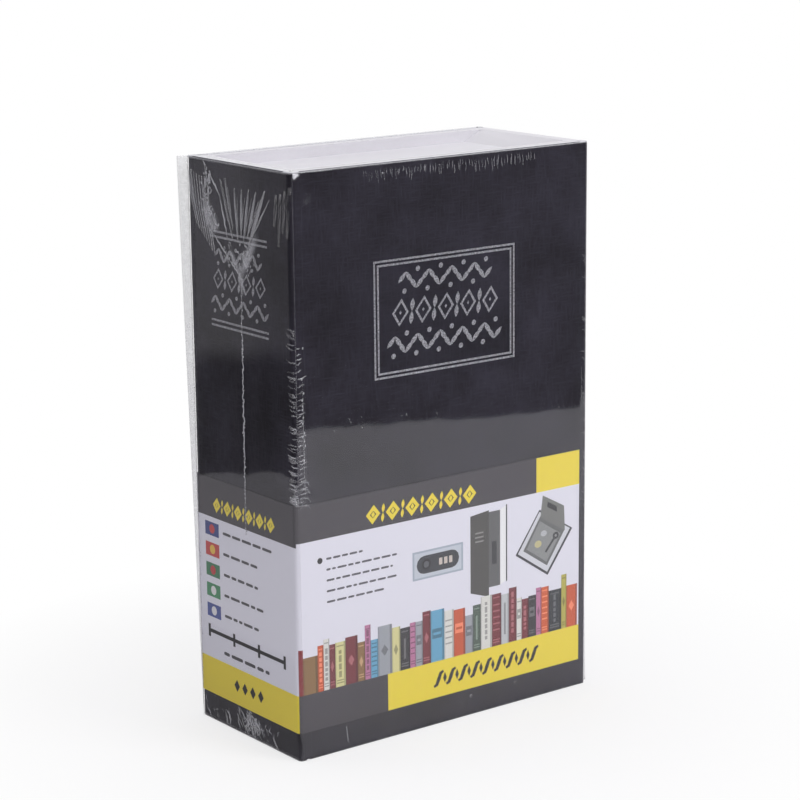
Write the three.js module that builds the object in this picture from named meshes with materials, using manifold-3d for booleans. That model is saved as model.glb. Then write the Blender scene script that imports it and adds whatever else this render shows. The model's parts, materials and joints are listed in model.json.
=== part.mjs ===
// A book diversion safe: a steel cash box with a three-wheel combination lock, set in a moulded
// block of pages, inside a cloth-covered hard cover with a printed paper band.
//
// Units are millimetres. The book stands on its tail with +Z up. The spine is at -X, the
// fore-edge at +X, and the front cover faces -Y. The origin is the middle of the footprint.
import * as THREE from "three";
import { mergeVertices } from "three/addons/utils/BufferGeometryUtils.js";
import Module from "manifold-3d";

const wasm = await Module();
wasm.setup();

// Overall size, over the paper band
const BOOK_WIDTH = 115;
const BOOK_DEPTH = 55;
const BOOK_HEIGHT = 180;

// Sheets and boards of the cover
const BOARD = 2;
const SPINE_BOARD = 1.5;
const CLOTH = 0.4;
const ENDPAPER = 0.2;
const TURN_IN = 12; // cloth folded over the boards' edges onto the inside
const CLOTH_BORDER = 3; // cloth left bare round each endpaper
const COVER_CORNER = 1; // rounding of the cloth along the boards' fore-edge
const SPINE_CORNER = 1.3; // rounding of the cloth along the spine's upright edges
const JOINT = 1.2; // joint between spine and board, where the cloth bends
const JOINT_SHORT = 0.4; // cloth of the joint short of head and tail

// Paper band round the lower half
const BAND_PAPER = 0.3;
const BAND_FOOT = 9;
const BAND_HEIGHT = 71.2;
const BAND_INSET = 3.1; // end of the band short of the fore-edge
const BAND_SLIT = 0.3; // parting of the band on the hinge line

// Moulded page block
const FORE_SQUARE = 0.5; // covers past the pages at the fore-edge
const SPINE_GAP = 0.3;
const COVER_GAP = 0.4; // shut cover to page block
const END_RECESS = 3.5; // depth of the recess in head and tail
const END_RIM = 4.5; // rim of that recess beside the fore-edge and the back cover
const THIN_RIM = 2; // the same rim beside the spine and the front cover
const END_SLOPE = 7; // length of the slope that ends the recess at the fore-edge
const END_CORNER = 2.5; // rounded corners of that recess
const BLOCK_CORNER = 0.8;
const MOULD_WALL = 2;
const FRONT_RIM = 4; // rim beside the lid
const LID_RECESS = 6; // face of the lid below the rim
const LEDGE = 2;
const PAGE_LINES = 14;
const PAGE_LINE_DEPTH = 0.35;
const PAGE_LINE_WIDTH = 1.2;
const RIB = 1.5;
const SIDE_RIBS = 5;
const END_RIBS = 3;
const RIB_STOP = 1.5; // ribs end short of the back

// Steel box and lid
const STEEL = 1;
const TRAY_FIT = 0.3; // box wall to page block
const TRAY_BACK_GAP = 0.3; // box to back cover
const FORE_LIP = 2.7; // box opening to the edge of the lid recess, at the fore-edge
const END_LIP = 6.5; // the same at head and tail
const HINGE_LIP = 2; // box opening past the lid's hinge edge
const TRAY_CORNER = 2;
const FLANGE_FIT = 0.4;
const LID_GAP = 0.5; // lid to the sides of its recess
const SHUT_GAP = 0.3; // shut lid to the box flange
const LID_CORNER = 2;
const RETURN_DEPTH = 4; // folded edges of the lid
const RETURN_GAP = 0.6;
const RETURN_START = 4; // folded edges start this far from the hinge edge

// Curled hinge of the lid
const PIN_RADIUS = 1;
const PIN_FIT = 0.09;
const KNUCKLES = 7;
const KNUCKLE_GAP = 0.4;
const HINGE_GAP = 0.4; // knuckle to page block and to the lid's edge
const KNUCKLE_LIFT = 0.1; // knuckle clear of the ledge
const PIN_OVERHANG = 1;

// Countersunk screws that hold the box
const TRAY_SCREW_RADIUS = 1.1;
const TRAY_SCREW_HEAD = 1.9;
const TRAY_SCREW_LENGTH = 8;
const TRAY_SCREW_INSET = 14;
const SCREW_FIT = 0.15;
const BOSS_RADIUS = 2.4;
const BOSS_LENGTH = 10;

// Combination lock: a plate in front of the lid and a case behind it
const LOCK_INSET = 18; // lock's middle from the lid recess's edge
const LOCK_HEIGHT = 84; // lock's middle above the tail
const BEZEL_WIDTH = 21;
const KNOB_MARGIN = 14; // knob's middle from the plate's pointed end
const KNOB_TO_WHEELS = 21.8; // knob's middle to the middle wheel
const WHEEL_MARGIN = 18.2; // middle wheel from the plate's square end
const BEZEL_THICKNESS = 2;
const BEZEL_CHAMFER = 0.6;
const BEZEL_POINT = 2.2; // the knob end is drawn out to a point
const BEZEL_CORNER = 2;
const CASE_WIDTH = 20;
const CASE_INSET = 6.5; // case short of the plate at both ends
const EAR_THICKNESS = 1.6;
const EAR_MARGIN = 0.8;
const CASE_BACK_WALL = 1.6;

// Number wheels
const WHEELS = 3;
const DIGITS = 10;
const WHEEL_RADIUS = 8;
const WHEEL_WIDTH = 4.8;
const WHEEL_PITCH = 6.1;
const WHEEL_PROUD = 0.7;
const WHEEL_NOTCH = 0.55;
const FLAT_SHARE = 0.78; // share of a digit's arc taken by its flat
const POCKET_GAP = 0.4; // wheel rim to its pocket
const POCKET_SIDE = 0.2; // wheel side to its pocket
const AXLE_RADIUS = 2.5;
const AXLE_FIT = 0.1;
const AXLE_SEAT = 1.5; // axle beyond the lowest pocket
const LEAF_THICKNESS = 0.3;
const LEAF_WIDTH = 5;
const LEAF_GAP = 0.3; // leaf spring to wheels
const LEAF_SEAT = 0.1; // leaf spring to the floor of its slot
const LEAF_SLIT = 0.9;

// Knob, spindle and latch cam
const KNOB_RADIUS = 6.5;
const KNOB_DISC = 1.5;
const KNOB_COVER_GAP = 0.6; // knob to shut cover
const GRIP_WIDTH = 3.4;
const GRIP_LENGTH = 12;
const DISH_RADIUS = 7.2;
const DISH_DEPTH = 0.6;
const TURN_GAP = 0.3; // turning faces apart
const SPINDLE_RADIUS = 3.5;
const SPINDLE_FIT = 0.12;
const SPINDLE_HOLE_IN_LID = 4.4;
const CAM_THICKNESS = 1.5;
const CAM_WIDTH = 10;
const CAM_TAIL = 5.5;
const CAM_WALL_GAP = 0.9; // cam tip to box wall when locked
const CAM_SQUARE = 4;
const CAM_SQUARE_FIT = 0.15;
const NUT_RADIUS = 3.8;
const NUT_THICKNESS = 2.2;
const STUD_RADIUS = 1.6;
const STUD_PAST_NUT = 0.6;

// Strike that the cam turns behind
const STRIKE_LENGTH = 14;
const STRIKE_REACH = 4;
const STRIKE_THICKNESS = 1.2;
const STRIKE_CAM_GAP = 0.6;
const STRIKE_LEG = 8;

// Screws that hold the lock
const LOCK_SCREW_INSET = 2.7; // from the plate's ends
const LOCK_SCREW_RADIUS = 1.3;
const LOCK_SCREW_HEAD = 2.2;
const LOCK_SCREW_HEAD_HEIGHT = 1.4;
const LOCK_SCREW_BITE = 1.2;

// Code reset slider in the back of the lock case
const RESET_INSET = 14; // slider's slot from the plate's square end
const RESET_WIDTH = 3.4;
const RESET_LENGTH = 4.4;
const RESET_DEPTH = 1;
const RESET_TRAVEL = 3;
const RESET_GAP = 0.2;
const RESET_NUB = 1.2;

const PAST = 1; // how far a cutter runs past the face that it opens
const ROUND = 24; // sides of a turned part
const SMALL_ROUND = 16;

// Planes of the cover, as distances from the middle of the book
const bandReach = BOOK_DEPTH / 2;
const clothReach = bandReach - BAND_PAPER;
const boardReach = clothReach - CLOTH;
const boardInside = boardReach - BOARD;
const coverInside = boardInside - ENDPAPER;

// Planes across the book
const spineFace = -BOOK_WIDTH / 2;
const foreEdge = BOOK_WIDTH / 2;
const clothSpine = spineFace + BAND_PAPER;
const spineInside = clothSpine + CLOTH + SPINE_BOARD + CLOTH;
const boardStart = spineInside + JOINT;
const coverHingeX = (spineInside + boardStart) / 2;
const bandEnd = foreEdge - BAND_INSET;
const band = [BAND_FOOT, BAND_FOOT + BAND_HEIGHT];

// Page block and the recess in its front
const block = {
  x: [spineInside + SPINE_GAP, foreEdge - FORE_SQUARE],
  y: [COVER_GAP - coverInside, coverInside],
  z: [0, BOOK_HEIGHT],
};
const recess = {
  x: inset(block.x, FRONT_RIM),
  z: inset(block.z, END_RECESS + MOULD_WALL),
};
const lidFace = block.y[0] + LID_RECESS;
const lidBack = lidFace + STEEL;
const flangeFace = lidBack + SHUT_GAP;
const ledgeFace = flangeFace + STEEL;

// Hinge of the lid
const knuckleRadius = PIN_RADIUS + STEEL;
const hingeX = recess.x[0] + HINGE_GAP + knuckleRadius;
const hingeY = ledgeFace - KNUCKLE_LIFT - knuckleRadius;
const lidStart = hingeX + knuckleRadius + HINGE_GAP;

// Inside of the steel box
const tray = {
  x: [lidStart + HINGE_LIP, recess.x[1] - FORE_LIP],
  y: [flangeFace, block.y[1] - TRAY_BACK_GAP],
  z: inset(recess.z, END_LIP),
};
const trayScrewX = inset(tray.x, TRAY_SCREW_INSET);
const trayScrewZ = [
  (recess.z[0] + tray.z[0] - STEEL) / 2,
  (recess.z[1] + tray.z[1] + STEEL) / 2,
];

// Places of the lock's pieces: x and z from its middle, y from the book's middle plane
const lockX = recess.x[1] - LOCK_INSET;
const bezelLength = KNOB_MARGIN + KNOB_TO_WHEELS + WHEEL_MARGIN;
const knobZ = KNOB_MARGIN - bezelLength / 2;
const caseLength = bezelLength - 2 * CASE_INSET;
const resetZ = bezelLength / 2 - RESET_INSET;
const bezelFace = lidFace - BEZEL_THICKNESS;
const earBack = lidBack + EAR_THICKNESS;
const wheelY = bezelFace - WHEEL_PROUD + WHEEL_RADIUS;
const wheelZ = Array.from({ length: WHEELS }, (_, i) => {
  return knobZ + KNOB_TO_WHEELS + (i - (WHEELS - 1) / 2) * WHEEL_PITCH;
});
const wheelBank = [
  wheelZ[0] - WHEEL_WIDTH / 2 - POCKET_SIDE,
  wheelZ[WHEELS - 1] + WHEEL_WIDTH / 2 + POCKET_SIDE,
];
const leafFace = wheelY + WHEEL_RADIUS + LEAF_GAP;
const leafSlotFloor = leafFace + LEAF_THICKNESS + LEAF_SEAT;
const resetFloor = leafSlotFloor + CASE_BACK_WALL - RESET_DEPTH;
const caseBack = resetFloor + RESET_DEPTH;
const camFace = caseBack + TURN_GAP;
const camBack = camFace + CAM_THICKNESS;
const knobFront = -coverInside + KNOB_COVER_GAP;
const knobBack = bezelFace + DISH_DEPTH - TURN_GAP;
const camReach = tray.x[1] - lockX - CAM_WALL_GAP;

function inset([low, high], by) {
  return [low + by, high - by];
}

function around(middle, width) {
  return [middle - width / 2, middle + width / 2];
}

// A closed three.js geometry as a solid that can be joined and cut
function solid(geometry) {
  const bare = geometry.clone();
  bare.deleteAttribute("normal");
  bare.deleteAttribute("uv");
  const merged = mergeVertices(bare, 1e-4);
  const triVerts = new Uint32Array(merged.index.array);
  const vertProperties = new Float32Array(merged.attributes.position.array);
  return new wasm.Manifold(new wasm.Mesh({ numProp: 3, vertProperties, triVerts }));
}

// A solid as a geometry for a mesh
function geometryOf(made) {
  const { vertProperties, triVerts } = made.getMesh();
  const geometry = new THREE.BufferGeometry();
  geometry.setAttribute("position", new THREE.BufferAttribute(vertProperties, 3));
  geometry.setIndex(new THREE.BufferAttribute(triVerts, 1));
  const faceted = geometry.toNonIndexed();
  faceted.computeVertexNormals();
  return faceted;
}

function joined(solids) {
  return solids.reduce((sum, next) => sum.add(next));
}

function cut(body, cutters) {
  return cutters.reduce((rest, next) => rest.subtract(next), body);
}

function cuboid(x, y, z) {
  const size = [x, y, z].map(([low, high]) => high - low);
  const middle = [x, y, z].map(([low, high]) => (low + high) / 2);
  return solid(new THREE.BoxGeometry(...size).translate(...middle));
}

// A polygon whose corners, each [x, y, rounding], are drawn as short curves
function outline(corners) {
  const shape = new THREE.Shape();
  corners.forEach(([x, y, rounding = 0], i) => {
    const here = new THREE.Vector2(x, y);
    const before = new THREE.Vector2(...corners.at(i - 1));
    const after = new THREE.Vector2(...corners[(i + 1) % corners.length]);
    const start = before.sub(here).setLength(rounding).add(here);
    const end = after.sub(here).setLength(rounding).add(here);
    if (i === 0) {
      shape.moveTo(start.x, start.y);
    } else {
      shape.lineTo(start.x, start.y);
    }
    if (rounding > 0) {
      shape.quadraticCurveTo(x, y, end.x, end.y);
    }
  });
  shape.closePath();
  return shape;
}

function rectangle([x0, x1], [y0, y1], rounding = 0) {
  return outline([
    [x0, y0, rounding],
    [x1, y0, rounding],
    [x1, y1, rounding],
    [x0, y1, rounding],
  ]);
}

// An outline drawn on X and Y, as a prism between two heights
function upright(shape, [low, high], curveSegments = 4) {
  const geometry = new THREE.ExtrudeGeometry(shape, {
    depth: high - low,
    bevelEnabled: false,
    curveSegments,
  });
  return solid(geometry.translate(0, 0, low));
}

// An outline drawn on X and Z, as a plate between two depths
function plate(shape, [front, back], curveSegments = 4) {
  const geometry = new THREE.ExtrudeGeometry(shape, {
    depth: back - front,
    bevelEnabled: false,
    curveSegments,
  });
  return solid(geometry.rotateX(Math.PI / 2).translate(0, back, 0));
}

function uprightRod([x, y], radius, [low, high], sides = ROUND) {
  const rod = new THREE.CylinderGeometry(radius, radius, high - low, sides);
  return solid(rod.rotateX(Math.PI / 2).translate(x, y, (low + high) / 2));
}

function levelRod([x, z], radius, [front, back], sides = ROUND) {
  const rod = new THREE.CylinderGeometry(radius, radius, back - front, sides);
  return solid(rod.translate(x, (front + back) / 2, z));
}

// A profile of [radius, y] points, turned about the Y axis
function turned(profile, sides = SMALL_ROUND) {
  const points = profile.map(([radius, y]) => new THREE.Vector2(radius, y));
  return solid(new THREE.LatheGeometry(points, sides));
}

// Outline of a board, rounded outside at the fore-edge; side is -1 in front and 1 behind
function boardOutline(side, [x0, x1], outer, inner, rounding) {
  const corners = [
    [x0, side * outer],
    [x1, side * outer, rounding],
    [x1, side * inner],
    [x0, side * inner],
  ];
  return outline(side < 0 ? corners : corners.reverse());
}

// A board with a pad that fills the space inside the cloth turn-ins
function coverBoard(side, padPast = 0) {
  const x = [boardStart + CLOTH, foreEdge - CLOTH];
  const rebate = boardInside + CLOTH;
  const slab = boardOutline(side, x, boardReach, rebate, COVER_CORNER - CLOTH);
  const padY = [side * (rebate + CLOTH / 2), side * (boardInside - padPast)];
  const pad = cuboid(
    inset([boardStart, foreEdge], TURN_IN),
    padY.sort((a, b) => a - b),
    inset([0, BOOK_HEIGHT], TURN_IN),
  );
  return upright(slab, inset([0, BOOK_HEIGHT], CLOTH)).add(pad);
}

// The cloth skin of one board, open on the inside within its turn-ins
function coverSkin(side) {
  const shape = boardOutline(side, [boardStart, foreEdge], clothReach, boardInside, COVER_CORNER);
  return upright(shape, [0, BOOK_HEIGHT]).subtract(coverBoard(side, PAST));
}

function spineBoard() {
  const x = [clothSpine + CLOTH, clothSpine + CLOTH + SPINE_BOARD];
  const shape = rectangle(x, [-boardReach, boardReach], CLOTH);
  return upright(shape, inset([0, BOOK_HEIGHT], CLOTH));
}

function spineSkin() {
  const shape = outline([
    [clothSpine, -clothReach, SPINE_CORNER],
    [spineInside, -clothReach],
    [spineInside, clothReach],
    [clothSpine, clothReach, SPINE_CORNER],
  ]);
  const window = cuboid(
    [spineInside - CLOTH * 1.5, spineInside + PAST],
    [-coverInside, coverInside],
    inset([0, BOOK_HEIGHT], TURN_IN),
  );
  return cut(upright(shape, [0, BOOK_HEIGHT]), [spineBoard(), window]);
}

// The strip of cloth across a joint, flush with the cloth on both sides of it
function jointStrip(side, x) {
  const y = [side * boardReach, side * clothReach];
  return cuboid(
    x,
    y.sort((a, b) => a - b),
    inset([0, BOOK_HEIGHT], JOINT_SHORT),
  );
}

function spineAndBackCloth() {
  const strip = jointStrip(1, [spineInside - CLOTH / 2, boardStart + CLOTH / 2]);
  return joined([spineSkin(), strip, coverSkin(1)]);
}

function endpaper(side) {
  const x = inset([boardStart, foreEdge], CLOTH_BORDER);
  const y = [side * boardInside, side * coverInside];
  const z = inset([0, BOOK_HEIGHT], CLOTH_BORDER);
  return cuboid(
    x,
    y.sort((a, b) => a - b),
    z,
  );
}

// The band's part on the spine and the back, folded round both of the spine's corners
function bandOnSpineAndBack() {
  const foldEnd = coverHingeX - BAND_SLIT / 2;
  const fold = SPINE_CORNER + BAND_PAPER;
  const shape = outline([
    [spineFace, -bandReach, fold],
    [foldEnd, -bandReach],
    [foldEnd, -clothReach],
    [clothSpine, -clothReach, SPINE_CORNER],
    [clothSpine, clothReach, SPINE_CORNER],
    [bandEnd, clothReach],
    [bandEnd, bandReach],
    [spineFace, bandReach, fold],
  ]);
  return upright(shape, band);
}

function bandOnFront() {
  return cuboid([coverHingeX + BAND_SLIT / 2, bandEnd], [-bandReach, -clothReach], band);
}

// V-shaped lines along the fore-edge that stand for pages
function pageLines() {
  const pitch = (block.y[1] - block.y[0]) / (PAGE_LINES + 1);
  return Array.from({ length: PAGE_LINES }, (_, i) => {
    const y = block.y[0] + (i + 1) * pitch;
    const line = outline([
      [block.x[1] - PAGE_LINE_DEPTH, y],
      [block.x[1] + PAST, y - PAGE_LINE_WIDTH],
      [block.x[1] + PAST, y + PAGE_LINE_WIDTH],
    ]);
    return upright(line, inset(block.z, -PAST));
  });
}

// Recesses in head and tail, with rounded corners, each rising to its rim at the fore-edge
function endRecesses() {
  const x = [block.x[0] + THIN_RIM, block.x[1] - END_RIM];
  const y = [block.y[0] + THIN_RIM, block.y[1] - END_RIM];
  const shape = rectangle(x, y, END_CORNER);
  return [1, -1].map((way) => {
    const rim = way > 0 ? block.z[1] : block.z[0];
    const reach = [rim - way * END_RECESS, rim + way * PAST];
    const profile = [
      [x[0] - PAST, reach[0]],
      [x[1] - END_SLOPE, reach[0]],
      [x[1], rim],
      [x[1], reach[1]],
      [x[0] - PAST, reach[1]],
    ];
    const sloped = plate(outline(way > 0 ? profile : profile.reverse()), inset(y, -PAST));
    return upright(shape, reach.sort((a, b) => a - b)).intersect(sloped);
  });
}

// Evenly spaced middles of ribs along a length
function ribMiddles([low, high], count) {
  return Array.from({ length: count }, (_, i) => low + ((i + 1) * (high - low)) / (count + 1));
}

// Ribs between the block's outer walls and the steel box
function blockRibs() {
  const y = [ledgeFace + LEDGE / 2, block.y[1] - RIB_STOP];
  const outerX = inset(block.x, MOULD_WALL / 2);
  const outerZ = inset(recess.z, -MOULD_WALL / 2);
  const nearX = inset(tray.x, -STEEL - TRAY_FIT);
  const nearZ = inset(tray.z, -STEEL - TRAY_FIT);
  const sides = ribMiddles(recess.z, SIDE_RIBS).flatMap((z) => [
    cuboid([outerX[0], nearX[0]], y, around(z, RIB)),
    cuboid([nearX[1], outerX[1]], y, around(z, RIB)),
  ]);
  const ends = ribMiddles(recess.x, END_RIBS).flatMap((x) => [
    cuboid(around(x, RIB), y, [outerZ[0], nearZ[0]]),
    cuboid(around(x, RIB), y, [nearZ[1], outerZ[1]]),
  ]);
  return [...sides, ...ends];
}

function screwBosses() {
  return atTrayScrews((x, z) => {
    return levelRod([x, z], BOSS_RADIUS, [ledgeFace + LEDGE / 2, ledgeFace + BOSS_LENGTH]);
  });
}

function atTrayScrews(make) {
  return trayScrewX.flatMap((x) => trayScrewZ.map((z) => make(x, z)));
}

function pageBlock() {
  const outer = upright(rectangle(block.x, block.y, BLOCK_CORNER), block.z);
  const lidRecess = cuboid(recess.x, [block.y[0] - PAST, ledgeFace], recess.z);
  const boxHole = cuboid(
    inset(tray.x, -STEEL - TRAY_FIT),
    [ledgeFace - PAST, block.y[1] + PAST],
    inset(tray.z, -STEEL - TRAY_FIT),
  );
  const hollow = cuboid(
    inset(block.x, MOULD_WALL),
    [ledgeFace + LEDGE, block.y[1] + PAST],
    recess.z,
  );
  const shell = cut(outer, [...endRecesses(), ...pageLines(), lidRecess, boxHole, hollow]);
  const pilots = atTrayScrews((x, z) => {
    const depth = [ledgeFace - PAST, ledgeFace + TRAY_SCREW_LENGTH + PAST];
    return levelRod([x, z], TRAY_SCREW_RADIUS + SCREW_FIT, depth, SMALL_ROUND);
  });
  return cut(joined([shell, ...blockRibs(), ...screwBosses()]), pilots);
}

// Height of one hinge knuckle; even ones are on the box, odd ones on the lid
function knuckleSpan(i) {
  const length = (tray.z[1] - tray.z[0]) / KNUCKLES;
  const low = tray.z[0] + i * length;
  return inset([low, low + length], KNUCKLE_GAP / 2);
}

function knuckleSpans(first) {
  const spans = [];
  for (let i = first; i < KNUCKLES; i += 2) {
    spans.push(knuckleSpan(i));
  }
  return spans;
}

function knuckle(span) {
  return uprightRod([hingeX, hingeY], knuckleRadius, span);
}

function pinBore() {
  return uprightRod([hingeX, hingeY], PIN_RADIUS + PIN_FIT, [0, BOOK_HEIGHT], ROUND);
}

function hingePin() {
  return uprightRod([hingeX, hingeY], PIN_RADIUS, inset(tray.z, -PIN_OVERHANG), ROUND);
}

// A countersunk screw with its head's face at y = 0, pointing along +Y
function countersunkScrew(extra = 0) {
  const headDepth = TRAY_SCREW_HEAD - TRAY_SCREW_RADIUS;
  const shank = TRAY_SCREW_RADIUS + extra;
  return turned([
    [0, -extra],
    [TRAY_SCREW_HEAD + extra, -extra],
    [TRAY_SCREW_HEAD + extra, 0],
    [shank, headDepth],
    [shank, TRAY_SCREW_LENGTH - TRAY_SCREW_RADIUS],
    [0, TRAY_SCREW_LENGTH],
  ]);
}

function boxTray() {
  const walls = inset(tray.x, -STEEL);
  const ends = inset(tray.z, -STEEL);
  const tub = plate(rectangle(walls, ends, TRAY_CORNER), tray.y);
  const flangeX = [hingeX, recess.x[1] - FLANGE_FIT];
  const flange = cuboid(flangeX, [flangeFace, ledgeFace], inset(recess.z, FLANGE_FIT));
  const hollow = plate(rectangle(tray.x, tray.z, TRAY_CORNER - STEEL), [
    flangeFace - PAST,
    tray.y[1] - STEEL,
  ]);
  const lidKnuckleSlots = knuckleSpans(1).map((span) =>
    cuboid(
      [recess.x[0], lidStart],
      [hingeY - knuckleRadius, ledgeFace + PAST],
      inset(span, -KNUCKLE_GAP),
    ),
  );
  const outsideHinge = [
    [recess.z[0], tray.z[0]],
    [tray.z[1], recess.z[1]],
  ].map((z) => cuboid([recess.x[0], lidStart], [flangeFace - PAST, ledgeFace + PAST], z));
  const screwHoles = atTrayScrews((x, z) => {
    return countersunkScrew(SCREW_FIT).translate([x, flangeFace, z]);
  });
  const blank = joined([tub, flange, ...knuckleSpans(0).map(knuckle)]);
  return cut(blank, [hollow, ...lidKnuckleSlots, ...outsideHinge, ...screwHoles, pinBore()]);
}

// The edges of the lid, folded back into the mouth of the box
function lidReturns() {
  const y = [lidFace + STEEL / 2, lidBack + RETURN_DEPTH];
  const x = [lidStart + RETURN_START, tray.x[1] - RETURN_GAP];
  const z = inset(tray.z, RETURN_GAP);
  return [
    cuboid(x, y, [z[0], z[0] + STEEL]),
    cuboid(x, y, [z[1] - STEEL, z[1]]),
    cuboid([x[1] - STEEL, x[1]], y, z),
  ];
}

function boxLid() {
  const x = [lidStart, recess.x[1] - LID_GAP];
  const z = inset(recess.z, LID_GAP);
  const sheet = plate(
    outline([
      [x[0], z[0]],
      [x[1], z[0], LID_CORNER],
      [x[1], z[1], LID_CORNER],
      [x[0], z[1]],
    ]),
    [lidFace, lidBack],
  );
  const curls = knuckleSpans(1).flatMap((span) => [
    knuckle(span),
    cuboid([hingeX, lidStart + STEEL], [lidFace, lidBack], span),
  ]);
  const through = [lidFace - PAST, lidBack + PAST];
  const wheelWindow = cuboid(
    around(lockX, 2 * (WHEEL_RADIUS - POCKET_GAP)),
    through,
    inset(wheelBank, -POCKET_SIDE).map((z) => z + LOCK_HEIGHT),
  );
  const spindleHole = levelRod([lockX, LOCK_HEIGHT + knobZ], SPINDLE_HOLE_IN_LID, through);
  const screwHoles = lockScrewHeights().map((z) => {
    return levelRod([lockX, LOCK_HEIGHT + z], LOCK_SCREW_RADIUS + SCREW_FIT, through, SMALL_ROUND);
  });
  const blank = joined([sheet, ...lidReturns(), ...curls]);
  return cut(blank, [wheelWindow, spindleHole, ...screwHoles, pinBore()]);
}

// The folded steel tab on the box wall that the cam turns behind
function strike() {
  const back = camFace - STRIKE_CAM_GAP;
  const z = around(LOCK_HEIGHT + knobZ, STRIKE_LENGTH);
  const tab = cuboid(
    [tray.x[1] - STRIKE_REACH, tray.x[1]],
    [back - STRIKE_THICKNESS, back],
    z,
  );
  const leg = cuboid([tray.x[1] - STRIKE_THICKNESS, tray.x[1]], [back - STRIKE_LEG, back], z);
  return tab.add(leg);
}

function lockScrewHeights() {
  return inset([-bezelLength / 2, bezelLength / 2], LOCK_SCREW_INSET);
}

// The lock's front outline, shrunk by a margin: square at the wheels' end, pointed at the knob's
function bezelOutline(margin = 0) {
  const side = BEZEL_WIDTH / 2 - margin;
  const end = bezelLength / 2 - margin;
  return outline([
    [-side, BEZEL_POINT - end, BEZEL_CORNER],
    [0, -end, BEZEL_WIDTH / 4],
    [side, BEZEL_POINT - end, BEZEL_CORNER],
    [side, end, BEZEL_CORNER],
    [-side, end, BEZEL_CORNER],
  ]);
}

// One pocket for each wheel, open to the front
function wheelPockets() {
  return wheelZ.map((z) => {
    const span = around(z, WHEEL_WIDTH + 2 * POCKET_SIDE);
    return uprightRod([0, wheelY], WHEEL_RADIUS + POCKET_GAP, span, 2 * ROUND);
  });
}

function lockBezel() {
  const chamfered = new THREE.ExtrudeGeometry(bezelOutline(BEZEL_CHAMFER), {
    depth: BEZEL_THICKNESS,
    bevelThickness: BEZEL_CHAMFER,
    bevelSize: BEZEL_CHAMFER,
    bevelSegments: 1,
    curveSegments: 4,
  });
  const front = solid(
    chamfered
      .rotateX(Math.PI / 2)
      .translate(0, bezelFace + BEZEL_CHAMFER + BEZEL_THICKNESS, 0),
  );
  const behind = cuboid(
    around(0, 2 * BEZEL_WIDTH),
    [lidFace, lidFace + bezelLength],
    around(0, 2 * bezelLength),
  );
  const dish = levelRod([0, knobZ], DISH_RADIUS, [bezelFace - PAST, bezelFace + DISH_DEPTH]);
  const spindleHole = levelRod(
    [0, knobZ],
    SPINDLE_RADIUS + SPINDLE_FIT,
    [bezelFace, lidFace + PAST],
  );
  const screwHoles = lockScrewHeights().map((z) => {
    const depth = [lidFace - LOCK_SCREW_BITE - SCREW_FIT, lidFace + PAST];
    return levelRod([0, z], LOCK_SCREW_RADIUS + SCREW_FIT, depth, SMALL_ROUND);
  });
  return cut(front, [behind, ...wheelPockets(), dish, spindleHole, ...screwHoles]);
}

function lockCase() {
  const ears = plate(bezelOutline(EAR_MARGIN), [lidBack, earBack]);
  const body = cuboid(
    around(0, CASE_WIDTH),
    [lidBack, caseBack],
    around(0, caseLength),
  );
  const mouths = wheelZ.map((z) => {
    const span = around(z, WHEEL_WIDTH + 2 * POCKET_SIDE);
    return cuboid(around(0, 2 * (WHEEL_RADIUS + POCKET_GAP)), [lidBack - PAST, wheelY], span);
  });
  const axleBore = uprightRod([0, wheelY], AXLE_RADIUS + AXLE_FIT, [
    wheelBank[0] - AXLE_SEAT,
    bezelLength,
  ]);
  const leafSlot = cuboid(around(0, LEAF_WIDTH + LEAF_GAP), [wheelY, leafSlotFloor], wheelBank);
  const spindleBore = levelRod(
    [0, knobZ],
    SPINDLE_RADIUS + SPINDLE_FIT,
    [lidBack - PAST, caseBack + PAST],
  );
  const resetSlot = cuboid(
    around(0, RESET_WIDTH + 2 * RESET_GAP),
    [resetFloor, caseBack + PAST],
    around(resetZ, RESET_LENGTH + RESET_TRAVEL + 2 * RESET_GAP),
  );
  const screwHoles = lockScrewHeights().map((z) => {
    const depth = [lidBack - PAST, earBack + PAST];
    return levelRod([0, z], LOCK_SCREW_RADIUS + SCREW_FIT, depth, SMALL_ROUND);
  });
  return cut(ears.add(body), [
    ...wheelPockets(),
    ...mouths,
    axleBore,
    leafSlot,
    spindleBore,
    resetSlot,
    ...screwHoles,
  ]);
}

function wheelAxle() {
  const span = [wheelBank[0] - AXLE_SEAT + AXLE_FIT, caseLength / 2];
  return uprightRod([0, wheelY], AXLE_RADIUS, span);
}

// A wheel of flats parted by notches, about its own middle, with a flat towards -Y
function numberWheel() {
  const step = (2 * Math.PI) / DIGITS;
  const corners = Array.from({ length: DIGITS }, (_, digit) => {
    const middle = digit * step - Math.PI / 2;
    const rim = WHEEL_RADIUS;
    return [
      [middle - (FLAT_SHARE * step) / 2, rim],
      [middle + (FLAT_SHARE * step) / 2, rim],
      [middle + step / 2, rim - WHEEL_NOTCH],
    ];
  }).flat();
  const rim = outline(corners.map(([angle, r]) => [r * Math.cos(angle), r * Math.sin(angle)]));
  const span = around(0, WHEEL_WIDTH);
  const bore = uprightRod([0, 0], AXLE_RADIUS + AXLE_FIT, inset(span, -PAST));
  return upright(rim, span).subtract(bore);
}

// A flat leaf slit into one finger for each wheel
function detentSpring() {
  const y = [leafFace, leafFace + LEAF_THICKNESS];
  const leaf = cuboid(around(0, LEAF_WIDTH), y, inset(wheelBank, LEAF_SEAT));
  const slits = wheelZ.slice(1).map((z) => {
    return cuboid(
      [-LEAF_WIDTH / 4, LEAF_WIDTH],
      inset(y, -PAST),
      around(z - WHEEL_PITCH / 2, LEAF_SLIT),
    );
  });
  return cut(leaf, slits);
}

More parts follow.
